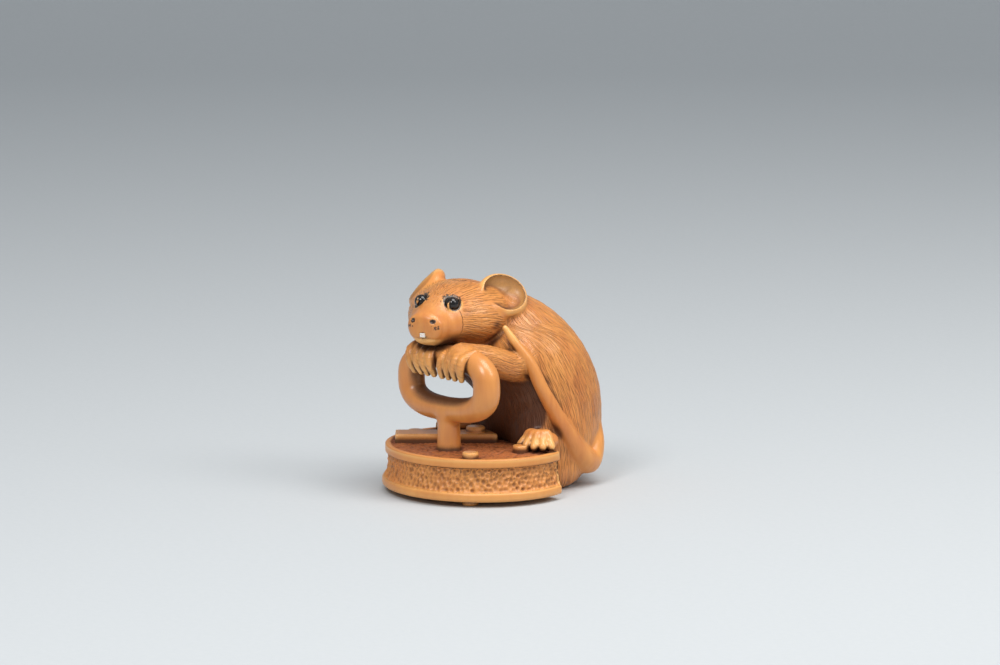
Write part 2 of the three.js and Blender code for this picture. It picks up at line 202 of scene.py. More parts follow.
class Block:
    def __init__(self, low, high, step):
        self.low, self.step = np.asarray(low, float), step
        self.shape = np.ceil((np.asarray(high) - self.low) / step).astype(int) + 1
        self.value = np.full(self.shape, FAR, np.float32)

    def part(self, form):
        first = np.floor((form.low - MARGIN - self.low) / self.step).astype(int)
        last = np.ceil((form.high + MARGIN - self.low) / self.step).astype(int)
        first, last = np.clip(first, 0, self.shape), np.clip(last, 0, self.shape)
        window = tuple(slice(a, b) for a, b in zip(first, last))
        axes = [self.low[i] + self.step * np.arange(first[i], last[i]) for i in range(3)]
        return window, np.stack(np.meshgrid(*axes, indexing="ij"), -1)

    def add(self, form, width):
        window, points = self.part(form)
        self.value[window] = soft_min(self.value[window], form.distance(points), width)

    def cut(self, form, width):
        window, points = self.part(form)
        self.value[window] = soft_max(self.value[window], -form.distance(points), width)

    def read(self, points, grid=None):
        """The field between grid points, by trilinear weights."""
        grid = self.value if grid is None else grid
        q = np.clip((points - self.low) / self.step, 0, self.shape - 1.001)
        i = np.floor(q).astype(int)
        t = q - i
        total = 0
        for corner in np.ndindex(2, 2, 2):
            weight = np.prod(np.where(corner, t, 1 - t), axis=-1)
            total = total + weight * grid[tuple((i + corner).T)]
        return total

    def slope(self, points):
        e = 0.5 * self.step
        moves = np.eye(3) * e
        return np.stack([self.read(points + m) - self.read(points - m) for m in moves], -1)


def skin(block):
    """Surface nets: the mesh where the field is zero."""
    value = block.value
    inside = value < 0
    count = sum(inside[tuple(slice(c, n - 1 + c) for c, n in zip(corner, value.shape))]
                .astype(np.int8) for corner in np.ndindex(2, 2, 2))
    mixed = (count > 0) & (count < 8)
    cells = np.argwhere(mixed)
    number = np.full(mixed.shape, -1)
    number[mixed] = np.arange(len(cells))
    total, hits = np.zeros((len(cells), 3)), np.zeros(len(cells))
    quads = []
    for axis in range(3):
        u, v = (axis + 1) % 3, (axis + 2) % 3
        along = np.eye(3, dtype=int)[axis]
        for a, b in np.ndindex(2, 2):
            start = cells.copy()
            start[:, u] += a
            start[:, v] += b
            f0, f1 = value[tuple(start.T)], value[tuple((start + along).T)]
            crossed = (f0 < 0) != (f1 < 0)
            t = f0[crossed] / (f0[crossed] - f1[crossed])
            total[crossed] += start[crossed] + t[:, None] * along
            hits[crossed] += 1
        first = inside[tuple(slice(0, -1) if i == axis else slice(1, -1) for i in range(3))]
        second = inside[tuple(slice(1, None) if i == axis else slice(1, -1) for i in range(3))]
        edges = np.argwhere(first != second)
        goes_out = first[tuple(edges.T)]
        edges = edges + 1 - along
        back_u, back_v = np.eye(3, dtype=int)[u], np.eye(3, dtype=int)[v]
        ring = [edges, edges - back_u, edges - back_u - back_v, edges - back_v]
        faces = np.stack([number[tuple(r.T)] for r in ring], -1)
        quads.append(np.where(goes_out[:, None], faces, faces[:, ::-1]))
    points = block.low + block.step * total / hits[:, None]
    for _ in range(2):
        slope = block.slope(points) / block.step
        reach = block.read(points) / np.maximum((slope ** 2).sum(-1), 0.2)
        points = points - np.clip(reach, -0.1, 0.1)[:, None] * slope
    return points, np.vstack(quads)


trial = Block((-2, -2, -2), (2, 2, 2), 0.25)
trial.add(egg((0, 0, 0), (1, 1, 1)), 0.1)
trial_points, trial_quads = skin(trial)
print("a trial ball:", len(trial_quads), "quads, radius",
      round(float(np.linalg.norm(trial_points, axis=1).mean()), 3))

# %% [markdown]
# ## Irregularity
#
# Nothing cut by hand repeats exactly. A smooth random pattern in two directions, made
# from a table of random numbers with a fixed seed, gives every stroke its own depth and
# length and is the same each time the lesson is run.

# %% Smooth random patterns
TABLE = np.random.default_rng(11).random((256, 256)) * 2 - 1


def wander(x, y):
    """Smooth noise between -1 and 1 that changes about once per unit."""
    i, j = np.floor(x).astype(int), np.floor(y).astype(int)
    s, t = x - i, y - j
    s, t = s * s * (3 - 2 * s), t * t * (3 - 2 * t)
    at = lambda a, b: TABLE[(i + a) % 256, (j + b) % 256]
    near = at(0, 0) * (1 - s) + at(1, 0) * s
    far = at(0, 1) * (1 - s) + at(1, 1) * s
    return near * (1 - t) + far * t


def fade(value, start, end):
    """0 before start, 1 after end, with soft ends."""
    t = np.clip((value - start) / (end - start), 0, 1)
    return t * t * (3 - 2 * t)


print("wander:", np.round(wander(np.arange(4) * 0.5, np.zeros(4)), 2))

# %% [markdown]
# ## The handle and what stands on the weight
#
# The weight is a copy of an old balance weight: a squat post carries a stirrup handle,
# and three studs and a flat bar lie round it. They are all small rounded forms that run
# into each other, so they are carved as one block. The handle's ring is a superellipse,
# which is squarer than an ellipse and rounder than a rectangle, and its radius swells a
# little at the sides.

# %% The stirrup handle
WEIGHT_HALF = np.array([15.3, 14.4])
WEIGHT_BOTTOM, WEIGHT_TOP = 0.85, 7.65
CHORD_Y = 5.0
HANDLE_AT = np.array([0.7, -6.5, 18.2])
HANDLE_HALF = (9.4, 4.2)
HANDLE_SQUARENESS = 2.8
HANDLE_RADIUS = 1.9
HANDLE_LEAN = 2.5
POST_RADIUS = 1.85


def squared(value):
    return np.sign(value) * abs(value) ** (2 / HANDLE_SQUARENESS)


def handle_ring(count=40):
    lean = turned(1, -HANDLE_LEAN)
    rows = []
    for a in np.linspace(0, 2 * math.pi, count + 1):
        c, s = squared(math.cos(a)), squared(math.sin(a))
        at = HANDLE_AT + lean @ (HANDLE_HALF[0] * c, 0, HANDLE_HALF[1] * s)
        rows.append([*at, HANDLE_RADIUS + 0.25 * abs(c)])
    return limb(rows, 2)


def post():
    x, y = HANDLE_AT[:2]
    foot = HANDLE_AT[2] - HANDLE_HALF[1]
    return limb([[x, y, WEIGHT_TOP - 1.5, POST_RADIUS + 0.3],
                 [x, y, WEIGHT_TOP + 0.8, POST_RADIUS + 0.05],
                 [x, y, foot - 2.5, POST_RADIUS - 0.05],
                 [x, y, foot - 1.0, POST_RADIUS]])


handle_forms = [(handle_ring(), 0.2), (post(), 0.9)]
print("handle and post:", len(handle_forms), "forms")

# %% [markdown]
# ### Studs, feet and the bar
#
# A stud is a short cylinder with a rounded edge. As a distance, that is a flat cylinder
# made smaller by the rounding and then grown again by the same amount. The bar is a
# rounded box, slanted at one end.

# %% Studs, feet and the bar
FOOT_PLACES = [(0, 0), (9, -9), (-9, -9)]
STUD_PLACES = [(9.2, -9.1), (9.9, 0.7), (-11.2, -3.6)]
BAR_HALF = (8.2, 2.2)
BAR_HEIGHT = 1.2
BAR_PLACE = Place((-5.4, -2.0, 0), turned(2, 50))
ROUNDING = 0.22


def peg(x, y, radius, low, high):
    def distance(points):
        out = np.hypot(points[..., 0] - x, points[..., 1] - y) - radius + ROUNDING
        tall = abs(points[..., 2] - (low + high) / 2) - (high - low) / 2 + ROUNDING
        outside = np.hypot(np.maximum(out, 0), np.maximum(tall, 0))
        return outside + np.minimum(np.maximum(out, tall), 0) - ROUNDING

    return Form(distance, (x - radius, y - radius, low), (x + radius, y + radius, high))


def slab(place, half, low, high, slant):
    def distance(points):
        q = place.local(points)
        long = abs(q[..., 0]) - half[0] + ROUNDING
        wide = abs(q[..., 1]) - half[1] + ROUNDING
        cut = (q[..., 0] + slant * q[..., 1] - half[0] + slant * half[1]) / math.hypot(1, slant)
        tall = abs(points[..., 2] - (low + high) / 2) - (high - low) / 2 + ROUNDING
        far = np.maximum(np.stack([np.maximum(long, cut), wide, tall], -1), 0)
        near = np.minimum(np.maximum(np.maximum(long, cut), np.maximum(wide, tall)), 0)
        return np.linalg.norm(far, axis=-1) + near - ROUNDING

    reach = math.hypot(*half)
    centre = place.at[:2]
    return Form(distance, (*(centre - reach), low), (*(centre + reach), high))


bar_stud = BAR_PLACE.world(np.array([4.7, 0, 0]))
stud_forms = [(slab(BAR_PLACE, BAR_HALF, WEIGHT_TOP - 1, WEIGHT_TOP + BAR_HEIGHT, 0.35), 0.1),
              (peg(*bar_stud[:2], 1.55, WEIGHT_TOP, WEIGHT_TOP + BAR_HEIGHT + 0.95), 0.12)]
for x, y in STUD_PLACES:
    stud_forms.append((peg(x, y, 1.3, WEIGHT_TOP - 1, WEIGHT_TOP + 0.95), 0.1))
for x, y in FOOT_PLACES:
    stud_forms.append((peg(x, y, 1.3, 0, WEIGHT_BOTTOM + 1), 0.1))
print("studs, feet and bar:", len(stud_forms), "forms")

# %% [markdown]
# ## The rat's body
#
# The body is one thick limb that leans forward from the rump to the neck, with an egg
# for the rump, the haunches, the hocks and the shoulders. Wide joins make them one soft
# back. The same left and right forms are mirrored, apart from the shoulders, because the
# rat leans a little.

# %% Torso, rump, haunches and shoulders
TORSO = [[0.3, 14.2, 8.6, 8.5], [0.2, 13.2, 13.5, 9.6], [-0.6, 11.2, 18.6, 9.3],
         [-2.0, 8.9, 23.8, 6.9], [-4.4, 4.4, 26.6, 5.2]]
body_forms = [(limb(TORSO), 0.1), (egg((0.3, 14.6, 6.3), (8.2, 7.6, 6.6)), 2.5)]
for side in (1, -1):
    body_forms.append((egg((5.0 * side, 11.2, 8.0), (5.3, 7.0, 6.8)), 1.6))
    body_forms.append((egg((6.6 * side, 10.6, 3.2), (3.6, 5.4, 3.4)), 1.2))
body_forms.append((egg((2.8, 6.2, 20.8), (4.2, 5.0, 5.2)), 1.8))
body_forms.append((egg((-5.6, 5.6, 20.8), (4.2, 5.0, 5.2)), 1.8))
print("body:", len(body_forms), "forms")

# %% [markdown]
# ## The head
#
# The head needs more control than eggs give. It is lofted: rows from the nose to the
# nape say how wide the head is, and how high its crown, its widest level and its chin
# are. Between rows the squares of these sizes are blended, because the square of a
# round end's height falls evenly to nothing, and so the nose stays round.
#
# A loft's raw value isn't a distance. Divided by its own slope it is close to one.

# %% A lofted head
HEAD = Place((-2.3, -6.2, 30.85), turned(2, 23 - 90))   # forward, left, up
HEAD_ROWS = np.array([
    [-14.0, 0.0, -2.6, -2.6, -2.6], [-12.8, 5.0, 0.6, -2.8, -5.6],
    [-10.6, 7.2, 2.0, -2.6, -6.4], [-8.0, 7.9, 2.5, -2.6, -6.8],
    [-5.2, 7.2, 2.5, -2.8, -6.9], [-2.4, 5.9, 2.2, -3.0, -6.8],
    [0.2, 4.9, 1.3, -3.3, -6.8], [2.2, 3.7, 0.0, -3.5, -6.7],
    [3.9, 3.3, -0.8, -3.3, -6.3], [4.9, 2.7, -1.2, -3.0, -5.6],
    [5.4, 1.7, -1.7, -2.8, -4.4], [5.6, 0.0, -2.7, -2.7, -2.7]])
CROWN_NARROWING = 0.2
FLANK_FULLNESS = 0.8


def head_loft():
    forward, half, crown, level, chin = HEAD_ROWS.T
    sizes = np.stack([half ** 2, (crown - level) ** 2, (level - chin) ** 2, level], -1)
    slopes = np.gradient(sizes, forward, axis=0)

    def raw(points):
        q = HEAD.local(points)
        x = np.clip(q[..., 0], forward[0] + 0.02, forward[-1] - 0.02)
        i = np.searchsorted(forward, x) - 1
        gap = (forward[i + 1] - forward[i])[..., None]
        t = (x - forward[i])[..., None] / gap
        size = (sizes[i] * (1 + 2 * t) * (1 - t) ** 2 + slopes[i] * gap * t * (1 - t) ** 2
                + sizes[i + 1] * t ** 2 * (3 - 2 * t) - slopes[i + 1] * gap * t ** 2 * (1 - t))
        wide, high, low = np.sqrt(np.maximum(size[..., :3], 0.02)).transpose(-1, *range(x.ndim))
        up = (q[..., 2] - size[..., 3]) / np.where(q[..., 2] > size[..., 3], high, low)
        wide = wide * (1 - CROWN_NARROWING * np.clip(up, 0, 1) ** 2)
        across = (abs(q[..., 1]) / wide) ** (1 / FLANK_FULLNESS)
        return (np.hypot(up, across) - 1) * np.minimum(wide, low)

    def distance(points):
        value, e = raw(points), 0.05
        slope = sum(((raw(points + m) - value) / e) ** 2 for m in np.eye(3) * e)
        ends = abs(HEAD.local(points)[..., 0] - (forward[0] + forward[-1]) / 2)
        past = ends - (forward[-1] - forward[0]) / 2
        return np.maximum(np.clip(value / np.sqrt(np.maximum(slope, 0.05)), -FAR, FAR), past)

    corner = np.array([(f, l, u) for f in (-14, 5.6) for l in (-8, 8) for u in (-7, 3)])
    corners = HEAD.world(corner)
    return Form(distance, corners.min(0), corners.max(0))


head_forms = [(head_loft(), 0.9)]
for side in (1, -1):
    head_forms.append((egg((-7.0, 3.7 * side, -3.4), (5.4, 4.1, 3.5), HEAD), 2.2))
print("head: a loft of", len(HEAD_ROWS), "rows and two cheeks")

# %% [markdown]
# ### Ears, eyelids, nostrils and mouth
#
# An ear is an egg with a smaller egg cut from its open side, turned outwards and
# upwards. A low fold runs inside it. An eyelid is a flattened ring round the eye, whose
# middle and size come from the solid model. The nostrils and the mouth are cut last.

# %% Ears and eyelids
EAR_AT, EAR_OPENS, EAR_LIFTS = (-9.2, 6.8, 0.2), 60, 40
EAR_HALF, EAR_CUP = (2.0, 4.35, 3.9), (2.0, 3.65, 3.2)
eyes = {side: [np.array(v) for v in millimetres(node)]
        for side, node in ((1, "left_eye"), (-1, "right_eye"))}
eye_middle = {side: (low + high) / 2 for side, (low, high) in eyes.items()}
eye_radius = float((eyes[1][1] - eyes[1][0]).min() / 2)
print("eye radius", round(eye_radius, 2), "mm")


def ear_place(side):
    at = HEAD.world(np.array([EAR_AT[0], EAR_AT[1] * side, EAR_AT[2]]))
    return Place(at, HEAD.turn @ turned(2, side * EAR_OPENS) @ turned(1, -EAR_LIFTS))


def ear(side):
    place = ear_place(side)
    shell = egg((0, 0, 0), EAR_HALF, place)
    if side > 0:   # open towards the face, where its front rim runs out
        cup, notch = egg((1.05, 0, 0), EAR_CUP, place), egg((1.5, -2.2, -0.5), (1.6, 3.0, 1.9), place)
    else:          # a thick front wall hides most of the cup
        cup = egg((1.2, -1.0, 0.2), (2.0, 2.9, 3.1), place)
        notch = cup
    fold = limb([[*place.world(np.array(p)), r] for p, r in (
        ((-0.2, -3.0 * side, -1.6), 0.5), ((-0.75, -1.4 * side, -0.2), 0.42),
        ((-0.95, 0.6 * side, 0.9), 0.34), ((-0.7, 2.2 * side, 1.5), 0.2))])

    def distance(points):
        bowl = soft_max(shell.distance(points), -cup.distance(points), 0.3)
        bowl = soft_max(bowl, -notch.distance(points), 0.3)
        return soft_min(bowl, fold.distance(points), 0.5)

    return Form(distance, shell.low, shell.high)


def lid(side):
    look = HEAD.turn @ np.array([0.42, 0.88 * side, 0.12])
    look = look / np.linalg.norm(look)
    across = np.cross((0, 0, 1), look)
    across = across / np.linalg.norm(across)
    turn = np.stack([look, across, np.cross(look, across)], -1)
    place = Place(eye_middle[side] + look * 0.58, turn)

    def distance(points):
        q = place.local(points)
        slant = q[..., 2] - 0.12 * q[..., 1]
        ring = np.hypot(q[..., 1] / 1.1, slant * 1.36) - eye_radius
        return np.hypot(ring, q[..., 0]) - 0.22

    return Form(distance, place.at - 2, place.at + 2)


ear_forms = [(ear(side), 0.7) for side in (1, -1)]
lid_forms = [(lid(side), 0.3) for side in (1, -1)]
face_cuts = [(egg((5.25, 1.7 * side, -2.35), (0.42, 0.34, 0.22), HEAD), 0.2) for side in (1, -1)]
face_cuts.append((egg((4.9, 0, -5.3), (1.0, 2.3, 0.1), HEAD), 0.3))
tooth_low, tooth_high = millimetres("incisors")
tooth_middle = (tooth_low + tooth_high) / 2
tooth_seat = HEAD.local(tooth_middle)
face_cuts.append((egg(tooth_seat + (0.35, 0, -0.1), (0.5, 0.6, 0.62), HEAD), 0.2))
face_cuts += [(egg(eye_middle[side], [eye_radius + 0.03] * 3), 0.05) for side in (1, -1)]
print("ears, lids and", len(face_cuts), "cuts")

# %% [markdown]
# ## Arms and paws
#
# Each arm is a limb from the shoulder to the wrist. A paw is an egg, and its four
# fingers bend over the top of the handle. The joins between fingers are narrow, so the
# dark lines between them stay deep.

# %% Arms and paws
LEFT_ARM = [[3.6, 6.0, 21.6, 3.2], [5.4, 2.4, 20.6, 2.5], [4.9, -2.2, 22.2, 2.1],
            [3.9, -6.2, 23.0, 2.0]]
RIGHT_ARM = [[-5.0, 5.0, 21.6, 3.2], [-7.4, 1.0, 21.0, 2.4], [-6.0, -3.4, 22.0, 2.1],
             [-4.9, -6.2, 22.4, 2.0]]
FINGERS = {"left": ((2.2, 3.8, 5.4, 7.0), -0.4), "right": ((-1.9, -3.5, -5.1, -6.8), 1.7)}
FINGER_PATH = [(-6.4, 23.6, 0.84), (-8.5, 22.85, 0.86), (-9.1, 21.3, 0.78), (-8.75, 19.7, 0.52)]

arm_forms = [(limb(LEFT_ARM), 1.2), (limb(RIGHT_ARM), 1.2)]
paw_forms = [(egg((4.4, -7.0, 22.9), (3.3, 2.1, 1.65)), 0.9),
             (egg((-4.4, -6.6, 22.4), (3.1, 2.3, 1.75)), 0.9)]
for places, lean in FINGERS.values():
    for x in places:
        rows = [[x + lean * i / 3, y, z, r] for i, (y, z, r) in enumerate(FINGER_PATH)]
        paw_forms.append((limb(rows), 0.22))
print("paws:", len(paw_forms), "forms")

# %% [markdown]
# ## Hind feet and tail
#
# Five toes fan out from each hind foot, each with a bulging knuckle before it drops to
# the weight. The tail is one long limb. It starts behind the rump, bends round low on the
# left side, and climbs the flank to the shoulder, thinner all the way.

# %% Hind feet and tail
FOOT_AT = np.array([10.0, 5.0, 8.8])
TOE_SPREAD = (-48, -24, 0, 22, 44)
FOOT_HEADING = 60
TAIL = [[1.0, 19.2, 12.6, 1.9], [4.4, 19.4, 10.0, 1.9], [7.0, 18.2, 6.6, 1.95],
        [8.3, 16.2, 4.0, 2.1], [9.4, 13.5, 5.4, 1.9], [9.9, 10.7, 8.8, 1.5],
        [9.75, 8.3, 12.5, 1.25], [9.05, 6.0, 16.7, 1.1], [7.75, 4.4, 21.1, 0.95],
        [6.3, 3.1, 23.7, 0.8], [4.6, 1.9, 26.6, 0.45]]


def toe(side, spread):
    angle = math.radians(spread - FOOT_HEADING)
    way = np.array([side * math.cos(angle), math.sin(angle)])
    rows = []
    for reach, z, radius in ((0.9, 9.9, 0.75), (2.0, 10.05, 0.86), (2.9, 9.3, 0.62),
                             (3.5, 8.6, 0.68), (3.8, 8.25, 0.5)):
        x, y = FOOT_AT[:2] * (side, 1) + way * reach
        rows.append([x, y, z, radius])
    return limb(rows)


foot_forms = []
for side in (1, -1):
    foot_forms.append((egg(FOOT_AT * (side, 1, 1), (2.7, 2.7, 1.6)), 1.0))
    foot_forms += [(toe(side, spread), 0.12) for spread in TOE_SPREAD]
tail_forms = [(limb(TAIL), 0.4)]
print("feet:", len(foot_forms), "forms; tail:", len(TAIL), "stations")

# %% [markdown]
# ## Carving the two blocks
#
# The rat and the fittings are carved on fine grids, a fifth of a millimetre apart. The
# head gets its cuts while it is still alone, so that the mouth can't cut the paws below
# it. Then the groups are joined with narrow joins, because the dark lines where one form
# lies on another are what make a small carving readable.

# %% Carve the rat and the fittings
FINE = 0.225
HEAD_JOIN = 0.6


def carve(forms, step, cuts=()):
    low = np.min([form.low for form, _ in forms], 0) - 4 * step
    high = np.max([form.high for form, _ in forms], 0) + 4 * step
    low[2] = max(low[2], -4 * step)
    block = Block(low, high, step)
    for form, width in forms:
        block.add(form, width)
    for form, width in cuts:
        block.cut(form, width)
    return block


def as_form(block):
    """A carved block, read back as a form of its own."""
    def distance(points):
        flat = points.reshape(-1, 3)
        inside = np.all((flat > block.low) & (flat < block.low + block.step * block.shape), -1)
        return np.where(inside, block.read(flat), FAR).reshape(points.shape[:-1])

    return Form(distance, block.low, block.low + block.step * (block.shape - 1))


ground = Form(lambda p: p[..., 2] + 0.0, (-30, -30, -2), (30, 30, 1))
head_block = carve(head_forms + ear_forms + lid_forms, FINE, face_cuts)
rat_forms = (body_forms + arm_forms + [(as_form(head_block), HEAD_JOIN)]
             + paw_forms + foot_forms + tail_forms)
rat_block = carve(rat_forms, FINE, [(ground, 0.3)])
rat_points, rat_quads = skin(rat_block)
rat_points[:, 2] = np.maximum(rat_points[:, 2], 0)
print("rat:", rat_block.value.shape, "grid,", 2 * len(rat_quads), "triangles")
fitting_block = carve(handle_forms + stud_forms, FINE)
fitting_points, fitting_quads = skin(fitting_block)
fitting_points[:, 2] = np.maximum(fitting_points[:, 2], 0)
print("handle and studs:", 2 * len(fitting_quads), "triangles")

# %% [markdown]
# ## The weight
#
# The weight is turned, so it is made as a lathe would make it: a profile goes round an
# axis. That could be a Screw modifier, but the pits need points where they are deepest,
# so the rows are laid here, closest together over the pitted band. What is turned beyond
# the chord is pushed back onto a flat wall, where the rump begins.

# %% Turn the weight
RIM = 1.45
RIM_ROUND = 0.5
BASE_FLARE = 0.5
BAND_STEP, BAND_HOLLOW = 0.3, 0.2
BAND_ROWS, TOP_ROWS = 26, 64
ROUND_COUNT = 660


def weight_profile():
    """Radius and height from the middle of the underside up to the middle of the top."""
    edge = WEIGHT_HALF[1]
    wide = edge + BASE_FLARE
    low, high = WEIGHT_BOTTOM + RIM, WEIGHT_TOP - RIM
    rows = [(r, WEIGHT_BOTTOM) for r in np.linspace(0, wide - RIM_ROUND, 8)]
    for a in np.linspace(0, math.pi / 2, 5)[1:]:
        rows.append((wide - RIM_ROUND * (1 - math.sin(a)), WEIGHT_BOTTOM + RIM_ROUND * (1 - math.cos(a))))
    rows += [(wide, low - 0.45), (wide - 0.03, low - 0.28), (wide - 0.1, low - 0.12), (wide - 0.25, low)]
    for t in np.linspace(0, 1, BAND_ROWS + 1):
        sink = BAND_STEP + BAND_HOLLOW * (1 - (2 * t - 1) ** 2)
        rows.append((wide + (edge - wide) * t - sink, low + (high - low) * t))
    rows += [(edge - 0.14, high + 0.02), (edge - 0.02, high + 0.14), (edge, high + 0.4)]
    for a in np.linspace(0, math.pi / 2, 6):
        rows.append((edge - 0.3 * (1 - math.cos(a)), WEIGHT_TOP - 0.3 * (1 - math.sin(a))))
    rows += [(r, WEIGHT_TOP) for r in np.linspace(edge - 0.3, 0, TOP_ROWS)[1:]]
    return np.array(rows)


def turn_weight():
    profile = weight_profile()
    angles = np.linspace(0, 2 * math.pi, ROUND_COUNT, endpoint=False)
    radius, height = profile[:, 0][:, None], profile[:, 1][:, None]
    points = np.stack([radius * np.cos(angles) * WEIGHT_HALF[0] / WEIGHT_HALF[1],
                       radius * np.sin(angles), height + 0 * angles], -1)
    rows, count = points.shape[:2]
    i, j = np.meshgrid(np.arange(rows - 1), np.arange(count), indexing="ij")
    k = (j + 1) % count
    quads = np.stack([i * count + j, i * count + k, (i + 1) * count + k, (i + 1) * count + j], -1)
    return points.reshape(-1, 3), quads.reshape(-1, 4)


weight_points, weight_quads = turn_weight()
beyond = weight_points[:, 1] > CHORD_Y
level = (weight_points[:, 2] > WEIGHT_TOP - 0.01) | (weight_points[:, 2] < WEIGHT_BOTTOM + 0.01)
weight_quads = weight_quads[~np.all((beyond & level)[weight_quads], axis=1)]
weight_points[beyond, 1] = CHORD_Y
print("weight:", 2 * len(weight_quads), "triangles")

# %% [markdown]
# ### Pits and the worked ground
#
# The band is covered with small round pits, cut by eye: rows that wander, holes of many
# sizes, and longer ones towards the rat's right. Each point of the band sinks by how deep
# it lies in the nearest pit. The ground on top is punched all over with a fine point and
# is left rough, while a smooth rim runs round it.

# %% Cut the pits and the ground
PIT_PITCH = 0.84
chance = np.random.default_rng(5)


def pit_depth(points):
    """How deep the pits are at each point of the band, in millimetres."""
    angle = np.arctan2(points[:, 1], points[:, 0])
    along, up = angle * WEIGHT_HALF[1], points[:, 2]
    low, high = WEIGHT_BOTTOM + RIM, WEIGHT_TOP - RIM
    deepest = np.zeros(len(points))
    count = int(2 * math.pi * WEIGHT_HALF[1] / PIT_PITCH)
    for row in range(5):
        for column in range(count):
            shift = 0.5 * (row % 2)
            a = (column + shift) * 2 * math.pi / count - math.pi
            move = chance.uniform(-0.3, 0.3, 2) * PIT_PITCH
            wide, tall, deep = chance.uniform((0.34, 0.36, 0.26), (0.5, 0.6, 0.42))
            if math.sin(a) * WEIGHT_HALF[1] > CHORD_Y:
                continue
            tall *= 1 + 0.7 * fade(-math.cos(a), 0.1, 0.9)
            middle = low + (row + 0.55) * (high - low) / 5.1 + move[1]
            near = np.abs(along - a * WEIGHT_HALF[1] - move[0]) < 1
            dx = (along[near] - a * WEIGHT_HALF[1] - move[0]) / wide
            dz = (up[near] - middle) / tall
            bowl = deep * np.clip(1.15 - (dx ** 2 + dz ** 2) ** 0.9, 0, 1) ** 0.8
            deepest[near] = np.maximum(deepest[near], bowl)
    edge = fade(up, low - 0.05, low + 0.25) * (1 - fade(up, high - 0.25, high + 0.05))
    return deepest * edge


def ground_depth(points):
    """The punched ground on top, inside the smooth rim."""
    reach = np.hypot(points[:, 0] * WEIGHT_HALF[1] / WEIGHT_HALF[0], points[:, 1])
    inside = fade(WEIGHT_HALF[1] - reach, 0.75, 1.15) * (points[:, 2] > WEIGHT_TOP - 0.01)
    x, y = points[:, 0], points[:, 1]
    punched = 0.5 + 0.35 * wander(x / 0.4, y / 0.34) + 0.25 * wander(y / 0.9 + 9, x / 0.8 + 4)
    return inside * (0.08 + 0.26 * punched)


on_band = (weight_points[:, 2] > WEIGHT_BOTTOM + RIM - 0.1) & (weight_points[:, 2] < WEIGHT_TOP - RIM + 0.1)
on_band &= ~beyond
pits = np.zeros(len(weight_points))
pits[on_band] = pit_depth(weight_points[on_band])
outward = weight_points[:, :2] / np.maximum(np.hypot(*weight_points[:, :2].T), 1e-6)[:, None]
weight_points[:, :2] -= outward * pits[:, None]
ground_mask = ground_depth(weight_points)
weight_points[:, 2] -= ground_mask
print("pits up to", round(float(pits.max()), 2), "mm deep")

# %% [markdown]
# ## Stain, painted shade and rubbed edges
#
# Old boxwood is stained and then rubbed by hands. The stain stays in the hollows and the
# rubbing brightens what stands proud. The hollows are also darkened with painted shade,
# where shade falls between forms. Both can be read from a distance field: a little way off
# the surface there is less room in a hollow, and a little way under the surface there is
# less wood below a ridge. The whole object is sampled once on a coarse grid for this, so
# that a paw also darkens the handle under it with painted shade.

# %% Measure hollows and ridges
def drum(points):
    x, y, z = points[..., 0], points[..., 1], points[..., 2]
    out = np.hypot(x * WEIGHT_HALF[1] / WEIGHT_HALF[0], y) - WEIGHT_HALF[1] - 0.2
    ends = np.maximum(z - WEIGHT_TOP, WEIGHT_BOTTOM - z)
    return np.maximum(np.maximum(out, ends), y - CHORD_Y)


COARSE = 0.35
whole = Block(block_low - 2, block_high + 2, COARSE)
for block in (rat_block, fitting_block):
    whole.add(as_form(block), 0.05)
whole.add(Form(drum, block_low, block_high), 0.05)


def normals_of(points, quads):
    """Area-weighted vertex normals."""
    a, b, c, d = (points[quads[:, i]] for i in range(4))
    face = np.cross(c - a, d - b)
    total = np.zeros_like(points)
    for i in range(4):
        for axis in range(3):
            total[:, axis] += np.bincount(quads[:, i], face[:, axis], len(points))
    return total / np.maximum(np.linalg.norm(total, axis=1), 1e-12)[:, None]


# The hollow number darkens the wood in the finishes: part stain, part painted shade.
def hollow_of(points, normals):
    """0 in the open, 1 deep between forms."""
    closed = 0
    for reach, weight in ((0.5, 0.3), (1.1, 0.4), (2.2, 0.3)):
        room = whole.read(points + normals * (reach + 0.1)) / reach
        closed = closed + weight * np.clip(1 - room, 0, 1)
    return np.clip(closed, 0, 1)


def ridge_of(points, normals):
    """0 on flat wood, 1 on a sharp edge."""
    under = -whole.read(points - normals * 0.9) / 0.9
    return np.clip(1 - under, 0, 1)


print("shade grid:", whole.value.shape)

# %% [markdown]
# ## Which way the hair lies
#
# The carver drew the fur as fine parallel cuts that follow the form. Each part of the
# animal has two numbers for this at every point: how far along the hair, and how far
# across it. On the body, across goes round the spine; on the head, round the line from
# nose to nape; on an arm, round the arm. These numbers are stored on the mesh with a
# mask that says where that part is, and both the relief and the wood's finish use them.

# %% Lay the hair
def nearest(forms, points):
    return np.min([form.distance(points) for form, _ in forms], axis=0)


REGIONS = {"body": body_forms, "head": head_forms + lid_forms, "ears": ear_forms,
           "arms": arm_forms, "paws": paw_forms, "feet": foot_forms, "tail": tail_forms}


def masks_at(points, soft=0.35):
    away = {name: nearest(forms, points) for name, forms in REGIONS.items()}
    masks = {}
    for name in away:
        others = np.min([away[other] for other in away if other != name], axis=0)
        masks[name] = fade(others - away[name], -soft, soft)
    return masks


def body_lay(points):
    spine = smooth_curve(TORSO, 6)
    order = np.argsort(spine[:, 2])
    x, y = (np.interp(points[:, 2], spine[order, 2], spine[order, axis]) for axis in (0, 1))
    round_spine = np.arctan2(points[:, 0] - x, points[:, 1] - y)
    return np.stack([points[:, 2] - 0.35 * points[:, 1], round_spine * 8.5], -1)


def head_lay(points):
    q = HEAD.local(points)
    round_head = np.abs(np.arctan2(q[:, 1], q[:, 2] + 3.0))
    return np.stack([q[:, 0], round_head * 5.5 + 0.16 * q[:, 0]], -1)


